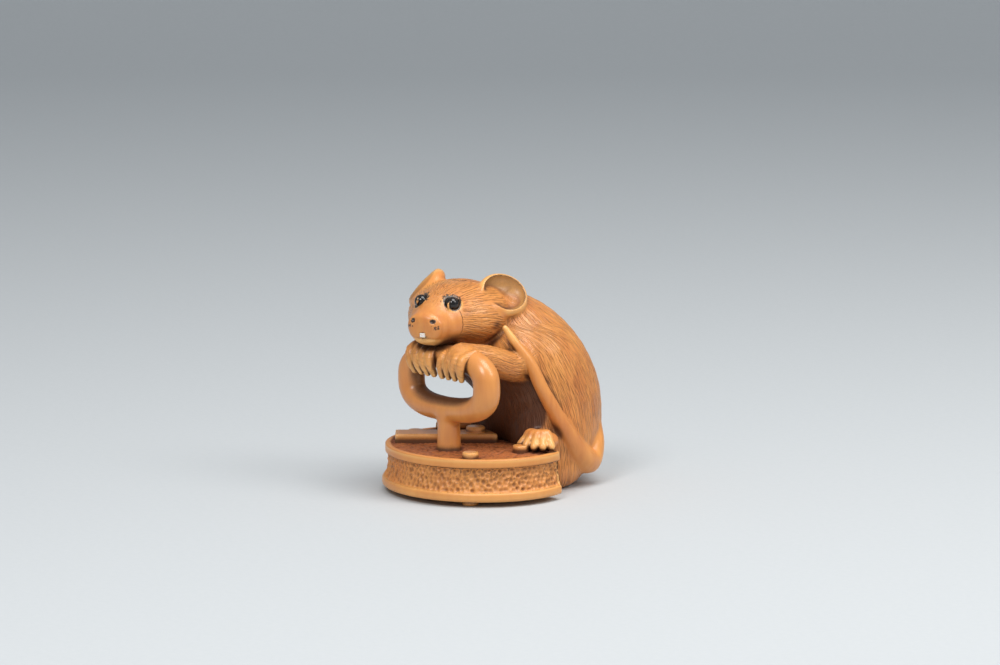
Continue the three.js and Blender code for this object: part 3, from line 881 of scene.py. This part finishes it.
def arm_lay(points):
    lay = np.zeros((len(points), 2))
    for arm, here in ((LEFT_ARM, points[:, 0] > 0), (RIGHT_ARM, points[:, 0] <= 0)):
        line = smooth_curve(arm, 6)
        order = np.argsort(line[:, 1])
        x, z = (np.interp(points[here, 1], line[order, 1], line[order, axis]) for axis in (0, 2))
        turn = np.arctan2(points[here, 0] - x, points[here, 2] - z)
        lay[here] = np.stack([points[here, 1], turn * 2.4], -1)
    return lay


def cuts_at(lay, spacing, length, seed=0):
    """The shape of parallel hair cuts across a lay, between -1 and 1."""
    along, across = lay[:, 0], lay[:, 1]
    drift = 0.55 * wander(along / 2.6 + seed, across / 1.3)
    wave = np.sin(2 * math.pi * (across / spacing + drift))
    strength = 0.55 + 0.45 * wander(along / length + seed, across / spacing * 0.7 + 5)
    return wave * strength


rat_masks = masks_at(rat_points)
lays = {"body": body_lay(rat_points), "head": head_lay(rat_points), "arms": arm_lay(rat_points)}
print({name: int((mask > 0.5).sum()) for name, mask in rat_masks.items()})

# %% [markdown]
# ### Relief on the rat
#
# The larger cuts are real relief: they move the skin by a few hundredths of a
# millimetre. The muzzle stays smooth in front of a line below the eyes, and the flank has
# long flat marks from the chisel under the hair.

# %% Cut the hair and the chisel marks
head_at = HEAD.local(rat_points)
furry_head = fade(-head_at[:, 0], -0.9, 0.5) + 0.5 * fade(head_at[:, 2], -1.0, 0.5)
furry_head = np.clip(furry_head, 0, 1) * rat_masks["head"]
near_eye = np.min([np.linalg.norm(rat_points - at, axis=1) for at in eye_middle.values()], axis=0)
furry_head *= fade(near_eye, eye_radius + 0.5, eye_radius + 1.2)
furry = {"body": rat_masks["body"], "head": furry_head,
         "arms": np.clip(rat_masks["arms"] + rat_masks["paws"] * 0.5, 0, 1)}
lift = np.zeros(len(rat_points))
for name, spacing, length, depth in (("body", 0.85, 3.0, 0.05), ("head", 0.72, 2.4, 0.06),
                                     ("arms", 0.7, 2.0, 0.045)):
    lift += furry[name] * depth * cuts_at(lays[name], spacing, length)
low_flank = furry["body"] * fade(17 - rat_points[:, 2], -3, 4)
chisel = wander(lays["body"][:, 0] / 3.2, lays["body"][:, 1] / 1.15)
lift += low_flank * 0.09 * chisel
wrinkle = np.sin(rat_points[:, 2] * 6 + 2 * wander(rat_points[:, 0], rat_points[:, 1]))
lift += (rat_masks["paws"] + rat_masks["feet"]) * 0.018 * wrinkle
lift += rat_masks["tail"] * 0.04 * wander(rat_points[:, 2] / 2.2, rat_points[:, 1] / 2.2)
rat_normals = normals_of(rat_points, rat_quads)
rat_hollow = hollow_of(rat_points, rat_normals)
rat_ridge = ridge_of(rat_points, rat_normals)
# Painted shade: the forward-facing belly under the arms and above the feet is darkened almost to the deep
# colour, where shade falls between the arms, the weight and the feet.
belly_painted_shade = fade(-rat_normals[:, 1], -0.1, 0.5) * fade(20.5 - rat_points[:, 2], 0, 3.5)
belly_painted_shade *= fade(8.8 - np.abs(rat_points[:, 0]), -0.3, 0.9) * fade(rat_points[:, 2], 3, 7) * (rat_masks["body"] + rat_masks["arms"])
rat_hollow = np.clip(np.maximum(rat_hollow, 0.92 * np.clip(belly_painted_shade, 0, 1)), 0, 1)
# The insides of the ear cups are darkened as well, through the hollow channel.
cups = [egg((1.05, 0, 0), EAR_CUP, ear_place(side)).distance(rat_points) for side in (1, -1)]
in_cup = rat_masks["ears"] * (1 - fade(np.min(cups, axis=0), -0.1, 0.3))
rat_hollow = np.clip(rat_hollow + 0.42 * in_cup, 0, 1)
rat_points = rat_points + rat_normals * (lift * (1 - 0.6 * rat_hollow))[:, None]
print("relief from", round(float(lift.min()), 3), "to", round(float(lift.max()), 3), "mm")

# %% [markdown]
# ### Ink
#
# The rims of the eyes, the nostrils and the whisker pits are touched with a dark stain,
# and there is a dark patch on the crown between the ears. The stain is a mask on the
# mesh, built from distances to a few places on the head.

# %% Ink the face
def ink_at(points):
    q = HEAD.local(points)
    rim = np.min([np.linalg.norm(points - at, axis=1) for at in eye_middle.values()], axis=0)
    ink = 1 - fade(rim, eye_radius + 0.15, eye_radius + 0.5)
    above = fade(q[:, 2], -0.2, 0.5)
    ink = np.maximum(ink, 0.52 * above * (1 - fade(rim, eye_radius + 0.6, eye_radius + 1.4)))
    for side in (1, -1):
        nostril = np.linalg.norm((q - (5.2, 1.75 * side, -2.35)) / (1, 1, 0.8), axis=1)
        ink = np.maximum(ink, 0.8 * (1 - fade(nostril, 0.3, 0.7)))
        whiskers = np.linalg.norm((q - (4.8, 2.2 * side, -3.3)) / (1, 1.1, 0.5), axis=1)
        ink = np.maximum(ink, 0.5 * (1 - fade(whiskers, 0.5, 1.3)))
    crown = np.linalg.norm((q - (-6.5, 0.5, 2.6)) / (1.6, 2.2, 1.2), axis=1)
    lip = np.linalg.norm((q - (5.0, 0.0, -5.0)) / (1.2, 1.5, 0.5), axis=1)
    ink = np.maximum(ink, 0.42 * (1 - fade(lip, 0.5, 1.4)))
    return np.maximum(ink, 0.4 * (1 - fade(crown, 0.4, 1.3)))


rat_ink = ink_at(rat_points) * rat_masks["head"]
print("inked points:", int((rat_ink > 0.5).sum()))

# %% [markdown]
# ## Making the pieces
#
# One helper turns points and quads into a Blender mesh, scales it to metres, and stores
# numbers on its points for the finishes: `shade` holds hollow, ridge and ink, and each
# `lay_` holds along, across and the mask of that part.

# %% Meshes that ride on the frame
def make_piece(name, points, quads, numbers, node):
    mesh = bpy.data.meshes.new(name)
    mesh.from_pydata((points * MM).tolist(), [], quads.tolist())
    mesh.shade_smooth()
    for title, values in numbers.items():
        layer = mesh.attributes.new(title, "FLOAT_VECTOR", "POINT")
        layer.data.foreach_set("vector", np.ascontiguousarray(values, np.float32).ravel())
    piece = bpy.data.objects.new(name, mesh)
    bpy.context.scene.collection.objects.link(piece)
    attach(piece, "root")
    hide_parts(node)
    print(name, "has", sum(len(p.vertices) - 2 for p in mesh.polygons), "triangles")
    return piece


def shade_numbers(points, quads, ink=0.0, painted_shade=0.0):
    normals = normals_of(points, quads)
    hollow = np.clip(hollow_of(points, normals) + painted_shade, 0, 1)
    return np.stack([hollow, ridge_of(points, normals), ink + 0 * hollow], -1)


numbers = {"shade": np.stack([rat_hollow, rat_ridge, rat_ink], -1)}
for name, lay in lays.items():
    numbers["lay_" + name] = np.column_stack([lay, furry[name]])
numbers["head_at"] = head_at
rat = make_piece("rat", rat_points, rat_quads, numbers, "boxwood_carving")
# Painted shade: the inner side of the handle's ring is darkened, where it lies in shade.
ring_at = Place(HANDLE_AT, turned(1, -HANDLE_LEAN)).local(fitting_points)
ring_level = (np.abs(ring_at[:, 0] / HANDLE_HALF[0]) ** HANDLE_SQUARENESS
              + np.abs(ring_at[:, 2] / HANDLE_HALF[1]) ** HANDLE_SQUARENESS)
ring_painted_shade = 0.75 * fade(1 - ring_level, 0.1, 0.75)
fittings = make_piece("handle_and_studs", fitting_points, fitting_quads,
                      {"shade": shade_numbers(fitting_points, fitting_quads, painted_shade=ring_painted_shade)},
                      "boxwood_carving")
weight_shade = shade_numbers(weight_points, weight_quads)
# Painted shade: the weight darkens where the rat and the fittings crowd it; in the pits the same channel
# darkens the floors by their depth.
weight_shade[:, 0] = np.clip(weight_shade[:, 0] * (pits < 0.01) + 1.35 * pits, 0, 1)
weight_shade[:, 2] = ground_mask / max(ground_mask.max(), 1e-6)
weight = make_piece("weight", weight_points, weight_quads, {"shade": weight_shade},
                    "boxwood_carving")

# %% [markdown]
# ## Eyes and teeth
#
# The eyes are polished black balls and the teeth are one small block of bone, split by a
# groove. The eyes take their place and size from the solid model, the teeth their place.

# %% Eyes and teeth
def eye_mesh(side):
    """A ball of the eye's radius, set at the eye's middle."""
    rows, count = 24, 40
    points = []
    for i in range(rows + 1):
        a = math.pi * i / rows
        for j in range(count):
            b = 2 * math.pi * j / count
            points.append((math.sin(a) * math.cos(b), math.sin(a) * math.sin(b), math.cos(a)))
    i, j = np.meshgrid(np.arange(rows), np.arange(count), indexing="ij")
    k = (j + 1) % count
    quads = np.stack([i * count + j, (i + 1) * count + j, (i + 1) * count + k, i * count + k], -1)
    return np.array(points) * eye_radius + eye_middle[side], quads.reshape(-1, 4)


for side, node in ((1, "left_eye"), (-1, "right_eye")):
    points, quads = eye_mesh(side)
    make_piece("rat_" + node, points, quads, {}, node)

def tooth_pair(points):
    q = Place(tooth_middle, HEAD.turn).local(points)
    box = np.abs(q) - (0.32, 0.38, 0.28)
    block = np.linalg.norm(np.maximum(box, 0), axis=-1) + np.minimum(box.max(-1), 0) - 0.06
    return np.maximum(block, 0.07 - np.hypot(q[..., 1], q[..., 0] - 0.4))


tooth_block = Block(tooth_middle - 1, tooth_middle + 1, 0.04)
tooth_block.add(Form(tooth_pair, tooth_middle - 0.8, tooth_middle + 0.8), 0.02)
tooth_points, tooth_quads = skin(tooth_block)
make_piece("rat_incisors", tooth_points, tooth_quads, {}, "incisors")

# %% [markdown]
# ## Finishes as node groups
#
# Every wooden piece has the same three things: the wood's own figure, stain and painted
# shade that stay in hollows, and polish on what stands proud. Each is a node group with
# named inputs, so that the rat, the handle and the weight can use them with their own
# values. A small helper adds nodes and joins them, because long lists of links are hard to
# read.

# %% A desk for laying nodes
class Desk:
    def __init__(self, tree):
        self.tree = tree

    def node(self, kind, inputs=None, **settings):
        made = self.tree.nodes.new("ShaderNode" + kind)
        for title, value in settings.items():
            setattr(made, title, value)
        for key, value in (inputs or {}).items():
            if isinstance(value, bpy.types.NodeSocket):
                self.tree.links.new(value, made.inputs[key])
            else:
                made.inputs[key].default_value = value
        made.location = (200 * (len(self.tree.nodes) % 8), -160 * (len(self.tree.nodes) // 8))
        return made

    def math(self, operation, *values, clamp=False):
        node = self.node("Math", dict(enumerate(values)), operation=operation, use_clamp=clamp)
        return node.outputs[0]

    def mix(self, factor, a, b, blend="MIX"):
        node = self.node("Mix", {0: factor, 6: a, 7: b}, data_type="RGBA", blend_type=blend)
        return node.outputs[2]

    def noise(self, vector, scale, detail=2.0, rough=0.5):
        node = self.node("TexNoise", {"Vector": vector, "Scale": scale, "Detail": detail,
                                      "Roughness": rough})
        return node.outputs[0]

    def step(self, value, start, end):
        node = self.node("MapRange", {0: value, 1: start, 2: end},
                         interpolation_type="SMOOTHSTEP")
        return node.outputs[0]

    def scaled(self, vector, factors):
        node = self.node("VectorMath", {0: vector, 1: factors}, operation="MULTIPLY")
        return node.outputs[0]


def node_group(title, inputs, outputs, build):
    tree = bpy.data.node_groups.new(title, "ShaderNodeTree")
    for name, (kind, value) in inputs.items():
        socket = tree.interface.new_socket(name, in_out="INPUT", socket_type="NodeSocket" + kind)
        if value is not None:
            socket.default_value = value
    for name, kind in outputs.items():
        tree.interface.new_socket(name, in_out="OUTPUT", socket_type="NodeSocket" + kind)
    entry, leave = tree.nodes.new("NodeGroupInput"), tree.nodes.new("NodeGroupOutput")
    for name, value in build(Desk(tree), entry.outputs).items():
        tree.links.new(value, leave.inputs[name])
    print("node group", title, "with", len(tree.nodes), "nodes")
    return tree


# %% [markdown]
# ### The figure of boxwood
#
# Boxwood is so fine that its fibres hardly show. What shows is slow change between
# yellow and red brown, faint streaks along the block's height, and tiny pores.

# %% Boxwood figure
def build_figure(desk, given):
    place = desk.node("TexCoord").outputs["Object"]
    broad = desk.noise(desk.scaled(place, (130, 130, 90)), 1.0, 3.0, 0.55)
    streak = desk.noise(desk.scaled(place, (950, 950, 140)), 1.0, 4.0, 0.6)
    pores = desk.noise(place, 5200.0, 2.0, 0.7)
    tone = desk.math("ADD", desk.math("MULTIPLY", broad, 0.65), desk.math("MULTIPLY", streak, 0.35))
    tone = desk.math("ADD", desk.math("MULTIPLY", desk.math("SUBTRACT", tone, 0.5), given["Contrast"]),
                     0.5, clamp=True)
    return {"Tone": tone, "Grain": desk.math("ADD", desk.math("MULTIPLY", streak, 0.5),
                                             desk.math("MULTIPLY", pores, 0.5)),
            "Pores": desk.step(pores, 0.62, 0.72)}


figure_group = node_group("boxwood figure", {"Contrast": ("Float", 2.2)},
                          {"Tone": "Float", "Grain": "Float", "Pores": "Float"}, build_figure)

# %% [markdown]
# ### Fine hair cuts
#
# The cuts on the mesh are the deep ones. Between them are many finer cuts, about a third
# of a millimetre apart, too fine for a mesh. This group draws them from the same lay
# numbers: across the lay a wave rises and falls, pushed about by noise, and along the lay
# each cut starts and stops.

# %% Hair cuts
def build_cuts(desk, given):
    lay = desk.node("SeparateXYZ", {0: given["Lay"]}).outputs
    along, across = lay[0], lay[1]
    x = desk.math("DIVIDE", along, given["Length"])
    y = desk.math("DIVIDE", across, given["Spacing"])
    flat = desk.node("CombineXYZ", {0: x, 1: desk.math("MULTIPLY", y, 0.45)}).outputs[0]
    push = desk.math("MULTIPLY", desk.math("SUBTRACT", desk.noise(flat, 1.0, 2.0), 0.5), 3.4)
    turn = desk.math("MULTIPLY", desk.math("ADD", y, push), 2 * math.pi)
    wave = desk.math("ADD", desk.math("MULTIPLY", desk.math("SINE", turn), 0.5), 0.5)
    fine = desk.node("CombineXYZ", {0: x, 1: desk.math("MULTIPLY", y, 1.9)}).outputs[0]
    broken = desk.step(desk.noise(fine, 1.0, 3.0, 0.6), 0.36, 0.6)
    cut = desk.math("MULTIPLY", desk.math("POWER", wave, 2.2), broken)
    return {"Cut": desk.math("MULTIPLY", cut, lay[2])}


cuts_group = node_group("hair cuts", {"Lay": ("Vector", None), "Spacing": ("Float", 0.34),
                                      "Length": ("Float", 2.4)}, {"Cut": "Float"}, build_cuts)

# %% [markdown]
# ### Stain and polish
#
# This group turns the figure and the shade numbers into a colour and a roughness. Hollows
# take the deep colour, which there is part stain and part painted shade; cuts take a little
# of it as stain, ridges are rubbed back to the golden wood, and ink covers everything.

# %% Stained, shaded and rubbed wood
def build_stain_and_shade(desk, given):
    shade = desk.node("SeparateXYZ", {0: given["Shade"]}).outputs
    wood = desk.mix(given["Tone"], given["Red Wood"], given["Gold Wood"])
    rubbed = desk.math("MULTIPLY", desk.step(shade[1], 0.2, 0.75), 0.55)
    wood = desk.mix(rubbed, wood, given["Rubbed"])
    wood = desk.mix(desk.math("MULTIPLY", given["Cut"], given["Cut Stain"]), wood, given["Deep"])
    # Painted shade and stain: the hollow number, roughened by the grain, darkens the wood towards the deep
    # colour.
    ragged = desk.math("ADD", shade[0], desk.math("MULTIPLY",
                                                 desk.math("SUBTRACT", given["Grain"], 0.5), 0.35))
    stain_and_shade = desk.step(ragged, 0.12, 0.85)
    wood = desk.mix(desk.math("MULTIPLY", stain_and_shade, given["Hollow Stain and Shade"]), wood, given["Deep"])
    wood = desk.mix(desk.math("MULTIPLY", given["Ink"], 0.93), wood, (0.012, 0.010, 0.010, 1))
    rough = desk.math("ADD", given["Roughness"], desk.math("MULTIPLY", stain_and_shade, 0.28))
    rough = desk.math("ADD", rough, desk.math("MULTIPLY", desk.math("SUBTRACT", given["Grain"], 0.5), 0.2))
    rough = desk.math("SUBTRACT", rough, desk.math("MULTIPLY", rubbed, 0.12), clamp=True)
    return {"Color": wood, "Roughness": rough}


GOLD, RED = (0.80, 0.35, 0.085, 1), (0.56, 0.18, 0.045, 1)
# DEEP is the colour of stain in the cuts, and of stain with painted shade in the hollows.
RUBBED, DEEP = (0.90, 0.52, 0.17, 1), (0.055, 0.013, 0.003, 1)
stain_and_shade_group = node_group(
    "stain, painted shade and rubbed wood",
    {"Shade": ("Vector", None), "Tone": ("Float", 0.5), "Grain": ("Float", 0.5),
     "Cut": ("Float", 0.0), "Ink": ("Float", 0.0), "Cut Stain": ("Float", 0.52),
     "Hollow Stain and Shade": ("Float", 0.9), "Roughness": ("Float", 0.36),
     "Gold Wood": ("Color", GOLD), "Red Wood": ("Color", RED),
     "Rubbed": ("Color", RUBBED), "Deep": ("Color", DEEP)},
    {"Color": "Color", "Roughness": "Float"}, build_stain_and_shade)

# %% [markdown]
# ### A speckled edge for ink
#
# Ink on carved wood has no clean edge: it is put on with a point, dot by dot. This group
# breaks any soft mask into specks, and is used for the face and for the worked ground.

# %% Specks
def build_specks(desk, given):
    place = desk.node("TexCoord").outputs["Object"]
    cells = desk.node("TexVoronoi", {"Vector": place, "Scale": given["Scale"]}).outputs["Distance"]
    noise = desk.noise(place, given["Scale"], 3.0)
    edge = desk.math("ADD", desk.math("MULTIPLY", cells, 0.7), desk.math("MULTIPLY", noise, 0.6))
    over = desk.math("SUBTRACT", desk.math("MULTIPLY", given["Mask"], 1.5), edge)
    return {"Specks": desk.step(over, -0.12, 0.16), "Cells": cells}


specks_group = node_group("specks", {"Mask": ("Float", 0.5), "Scale": ("Float", 2600.0)},
                          {"Specks": "Float", "Cells": "Float"}, build_specks)

# %% [markdown]
# ## The materials
#
# The rat's wood adds the hair cuts of three parts, and the thin crack that runs down the
# cheek from below the eye. The crack is drawn from the head's own forward and up numbers:
# it is where a point lies within a twentieth of a millimetre of a slanted line.

# %% Wood of the rat
def start_material(title):
    material = bpy.data.materials.new(title)
    material.use_nodes = True
    tree = material.node_tree
    tree.nodes.clear()
    return material, Desk(tree)


def finish_material(desk, shader):
    out = desk.node("OutputMaterial")
    desk.tree.links.new(shader.outputs[0], out.inputs[0])


def use(desk, group, inputs=None):
    made = desk.node("Group", None, node_tree=group)
    for key, value in (inputs or {}).items():
        if isinstance(value, bpy.types.NodeSocket):
            desk.tree.links.new(value, made.inputs[key])
        else:
            made.inputs[key].default_value = value
    return made.outputs


def stored(desk, title):
    return desk.node("Attribute", attribute_name=title).outputs["Vector"]


def rat_material():
    material, desk = start_material("hair cut boxwood")
    figure = use(desk, figure_group, {"Contrast": 2.4})
    shade = stored(desk, "shade")
    cut = None
    for part, spacing, length in (("body", 0.30, 4.0), ("head", 0.32, 3.4), ("arms", 0.30, 2.6)):
        lines = use(desk, cuts_group, {"Lay": stored(desk, "lay_" + part),
                                       "Spacing": spacing, "Length": length})[0]
        cut = lines if cut is None else desk.math("MAXIMUM", cut, lines)
    ink = use(desk, specks_group, {"Mask": desk.node("SeparateXYZ", {0: shade}).outputs[2],
                                   "Scale": 3400.0})["Specks"]
    head = desk.node("SeparateXYZ", {0: stored(desk, "head_at")}).outputs
    line = desk.math("ADD", head[0], desk.math("MULTIPLY", head[2], CRACK_SLANT))
    jitter = desk.math("MULTIPLY", desk.noise(stored(desk, "head_at"), 1.7, 3.0), 0.35)
    away = desk.math("ABSOLUTE", desk.math("SUBTRACT", desk.math("ADD", line, jitter), CRACK_AT))
    crack = desk.math("SUBTRACT", 1.0, desk.step(away, 0.02, 0.09))
    span = desk.math("MULTIPLY", desk.step(head[2], *CRACK_BOTTOM), desk.step(head[2], *CRACK_TOP))
    crack = desk.math("MULTIPLY", crack, desk.math("MULTIPLY", span, desk.step(head[1], 1.0, 1.6)))
    wood = use(desk, stain_and_shade_group, {"Shade": shade, "Tone": figure["Tone"], "Grain": figure["Grain"],
                                   "Cut": desk.math("MAXIMUM", cut, crack), "Ink": ink})
    height = desk.math("SUBTRACT", desk.math("MULTIPLY", figure["Grain"], 0.12), cut)
    height = desk.math("SUBTRACT", height, desk.math("MULTIPLY", crack, 1.5))
    bump = desk.node("Bump", {"Height": height, "Strength": 0.8, "Distance": 0.00013})
    shader = desk.node("BsdfPrincipled", {
        "Base Color": wood["Color"], "Roughness": wood["Roughness"], "Normal": bump.outputs[0],
        "Specular IOR Level": 0.45, "Coat Weight": 0.18, "Coat Roughness": 0.22})
    finish_material(desk, shader)
    return material


CRACK_AT, CRACK_SLANT = 0.55, 0.05
CRACK_BOTTOM, CRACK_TOP = (-5.2, -4.6), (-0.9, -1.4)
rat.data.materials.append(rat_material())
print("rat:", rat.data.materials[0].name)

# %% [markdown]
# The handle and its studs are rubbed smooth, with no hair. The weight has a smooth rim, a
# punched ground that keeps a red stain, and pits with dark floors.

# %% Wood of the handle and of the weight
def handle_material():
    material, desk = start_material("rubbed boxwood")
    figure = use(desk, figure_group, {"Contrast": 1.7})
    wood = use(desk, stain_and_shade_group, {"Shade": stored(desk, "shade"), "Tone": figure["Tone"],
                                   "Grain": figure["Grain"], "Roughness": 0.32})
    bump = desk.node("Bump", {"Height": figure["Grain"], "Strength": 0.35, "Distance": 0.00004})
    shader = desk.node("BsdfPrincipled", {
        "Base Color": wood["Color"], "Roughness": wood["Roughness"], "Normal": bump.outputs[0],
        "Specular IOR Level": 0.5, "Coat Weight": 0.3, "Coat Roughness": 0.18})
    finish_material(desk, shader)
    return material


def weight_material():
    material, desk = start_material("pitted boxwood")
    figure = use(desk, figure_group, {"Contrast": 1.5})
    shade = stored(desk, "shade")
    worked = desk.node("SeparateXYZ", {0: shade}).outputs[2]
    specks = use(desk, specks_group, {"Mask": desk.math("MULTIPLY", worked, 0.62), "Scale": 1500.0})
    punched = desk.step(worked, 0.08, 0.3)
    tone = desk.math("SUBTRACT", figure["Tone"], desk.math("MULTIPLY", punched, 0.55), clamp=True)
    cut = desk.math("MULTIPLY", specks["Specks"], desk.math("MULTIPLY", punched, 0.8))
    wood = use(desk, stain_and_shade_group, {"Shade": shade, "Tone": tone, "Grain": figure["Grain"],
                                   "Cut": cut, "Cut Stain": 0.62, "Roughness": 0.38})
    red = desk.mix(desk.math("MULTIPLY", punched, 0.5), wood["Color"], (0.27, 0.070, 0.024, 1))
    rough = desk.math("ADD", wood["Roughness"], desk.math("MULTIPLY", punched, 0.15), clamp=True)
    height = desk.math("SUBTRACT", desk.math("MULTIPLY", figure["Grain"], 0.3), cut)
    bump = desk.node("Bump", {"Height": height, "Strength": 0.8, "Distance": 0.00022})
    shader = desk.node("BsdfPrincipled", {
        "Base Color": red, "Roughness": rough, "Normal": bump.outputs[0],
        "Specular IOR Level": 0.45, "Coat Weight": 0.12, "Coat Roughness": 0.3})
    finish_material(desk, shader)
    return material


fittings.data.materials.append(handle_material())
weight.data.materials.append(weight_material())
print("handle:", fittings.data.materials[0].name, "- weight:", weight.data.materials[0].name)

# %% [markdown]
# ## Horn and bone
#
# The eyes are black horn: nearly black, with a faint brown cloud and a hard polish. The
# teeth are bone: warm white with fine yellow streaks, a little light passing through.

# %% Horn and bone
def horn_material():
    material, desk = start_material("black horn")
    place = desk.node("TexCoord").outputs["Object"]
    cloud = desk.noise(place, 1500.0, 3.0)
    colour = desk.mix(desk.step(cloud, 0.35, 0.75), (0.004, 0.004, 0.005, 1), (0.022, 0.014, 0.010, 1))
    rough = desk.math("ADD", 0.05, desk.math("MULTIPLY", desk.noise(place, 9000.0, 2.0), 0.09))
    bump = desk.node("Bump", {"Height": cloud, "Strength": 0.08, "Distance": 0.00003})
    shader = desk.node("BsdfPrincipled", {
        "Base Color": colour, "Roughness": rough, "Normal": bump.outputs[0],
        "Specular IOR Level": 0.35, "Coat Weight": 0.35, "Coat Roughness": 0.03})
    finish_material(desk, shader)
    return material


def bone_material():
    material, desk = start_material("bone")
    place = desk.node("TexCoord").outputs["Object"]
    streak = desk.noise(desk.scaled(place, (4200, 4200, 900)), 1.0, 3.0)
    colour = desk.mix(desk.step(streak, 0.45, 0.8), (0.83, 0.80, 0.74, 1), (0.62, 0.47, 0.30, 1))
    rough = desk.math("ADD", 0.22, desk.math("MULTIPLY", streak, 0.18))
    bump = desk.node("Bump", {"Height": streak, "Strength": 0.25, "Distance": 0.00003})
    shader = desk.node("BsdfPrincipled", {
        "Base Color": colour, "Roughness": rough, "Normal": bump.outputs[0],
        "Subsurface Weight": 0.15, "Subsurface Scale": 0.0004})
    finish_material(desk, shader)
    return material


horn, bone = horn_material(), bone_material()
for piece_name in ("rat_left_eye", "rat_right_eye"):
    bpy.data.objects[piece_name].data.materials.append(horn)
bpy.data.objects["rat_incisors"].data.materials.append(bone)
print("inlays:", horn.name, "and", bone.name)

# %% [markdown]
# ## The studio
#
# The carving stands on a sheet of pale paper that sweeps up behind it, so that no edge
# shows. Large soft lamps stand above, to the right and in front. Their size against the
# carving's size is what makes the shadows soft.

# %% Paper, lamps and camera
def paper():
    profile = [(-1.2, 0.0)] + [(0.55, 0.0)]
    for a in np.linspace(0, math.pi / 2, 16)[1:]:
        profile.append((0.55 + 0.45 * math.sin(a), 0.45 * (1 - math.cos(a))))
    profile.append((1.0, 1.9))
    back = np.array([-0.755, 0.634])
    side = np.array([0.634, 0.755])
    points = [(*(back * d + side * w), z) for d, z in profile for w in (-1.6, 1.6)]
    quads = [(2 * i, 2 * i + 1, 2 * i + 3, 2 * i + 2) for i in range(len(profile) - 1)]
    mesh = bpy.data.meshes.new("paper")
    mesh.from_pydata(points, [], quads)
    mesh.shade_smooth()
    sheet = bpy.data.objects.new("paper", mesh)
    bpy.context.scene.collection.objects.link(sheet)
    material, desk = start_material("pale paper")
    fibre = desk.noise(desk.node("TexCoord").outputs["Object"], 900.0, 4.0, 0.6)
    colour = desk.mix(fibre, (0.50, 0.525, 0.54, 1), (0.54, 0.56, 0.575, 1))
    bump = desk.node("Bump", {"Height": fibre, "Strength": 0.08, "Distance": 0.0001})
    shader = desk.node("BsdfPrincipled", {"Base Color": colour, "Roughness": 0.75,
                                          "Normal": bump.outputs[0]})
    finish_material(desk, shader)
    mesh.materials.append(material)
    return sheet


def lamp(title, at, size, power, colour=(1, 1, 1)):
    data = bpy.data.lights.new(title, "AREA")
    data.shape, data.size, data.energy, data.color = "DISK", size, power, colour
    made = bpy.data.objects.new(title, data)
    made.location = at
    aim = np.array([0, 0, 0.016]) - np.array(at)
    made.rotation_mode = "QUATERNION"
    made.rotation_quaternion = mathutils.Vector(aim).to_track_quat("-Z", "Y")
    bpy.context.scene.collection.objects.link(made)


import mathutils

paper()
lamp("overhead", (0.14, 0.06, 0.52), 0.36, 2.0, (1.0, 0.985, 0.96))
lamp("right", (0.36, 0.16, 0.34), 0.22, 0.7, (1.0, 0.98, 0.95))
lamp("front", (0.16, -0.34, 0.40), 0.2, 1.25, (1.0, 0.99, 0.98))
world = bpy.data.worlds.new("studio")
world.use_nodes = True
world.node_tree.nodes["Background"].inputs[0].default_value = (0.80, 0.86, 0.92, 1)
world.node_tree.nodes["Background"].inputs[1].default_value = 0.46
bpy.context.scene.world = world
bpy.context.scene.view_settings.view_transform = "Standard"

camera_data = bpy.data.cameras.new("camera")
camera_data.sensor_width, camera_data.lens = 36.0, 202.2
camera_data.clip_start, camera_data.clip_end = 0.05, 10
camera = bpy.data.objects.new("camera", camera_data)
camera.location = np.array([678.66, -564.76, 176.41]) * MM
camera.rotation_mode = "QUATERNION"
look = mathutils.Vector((-0.75509, 0.63360, -0.16849))
camera.rotation_quaternion = look.to_track_quat("-Z", "Y")
bpy.context.scene.collection.objects.link(camera)
bpy.context.scene.camera = camera
print("camera", round(camera.location.length, 3), "m away")
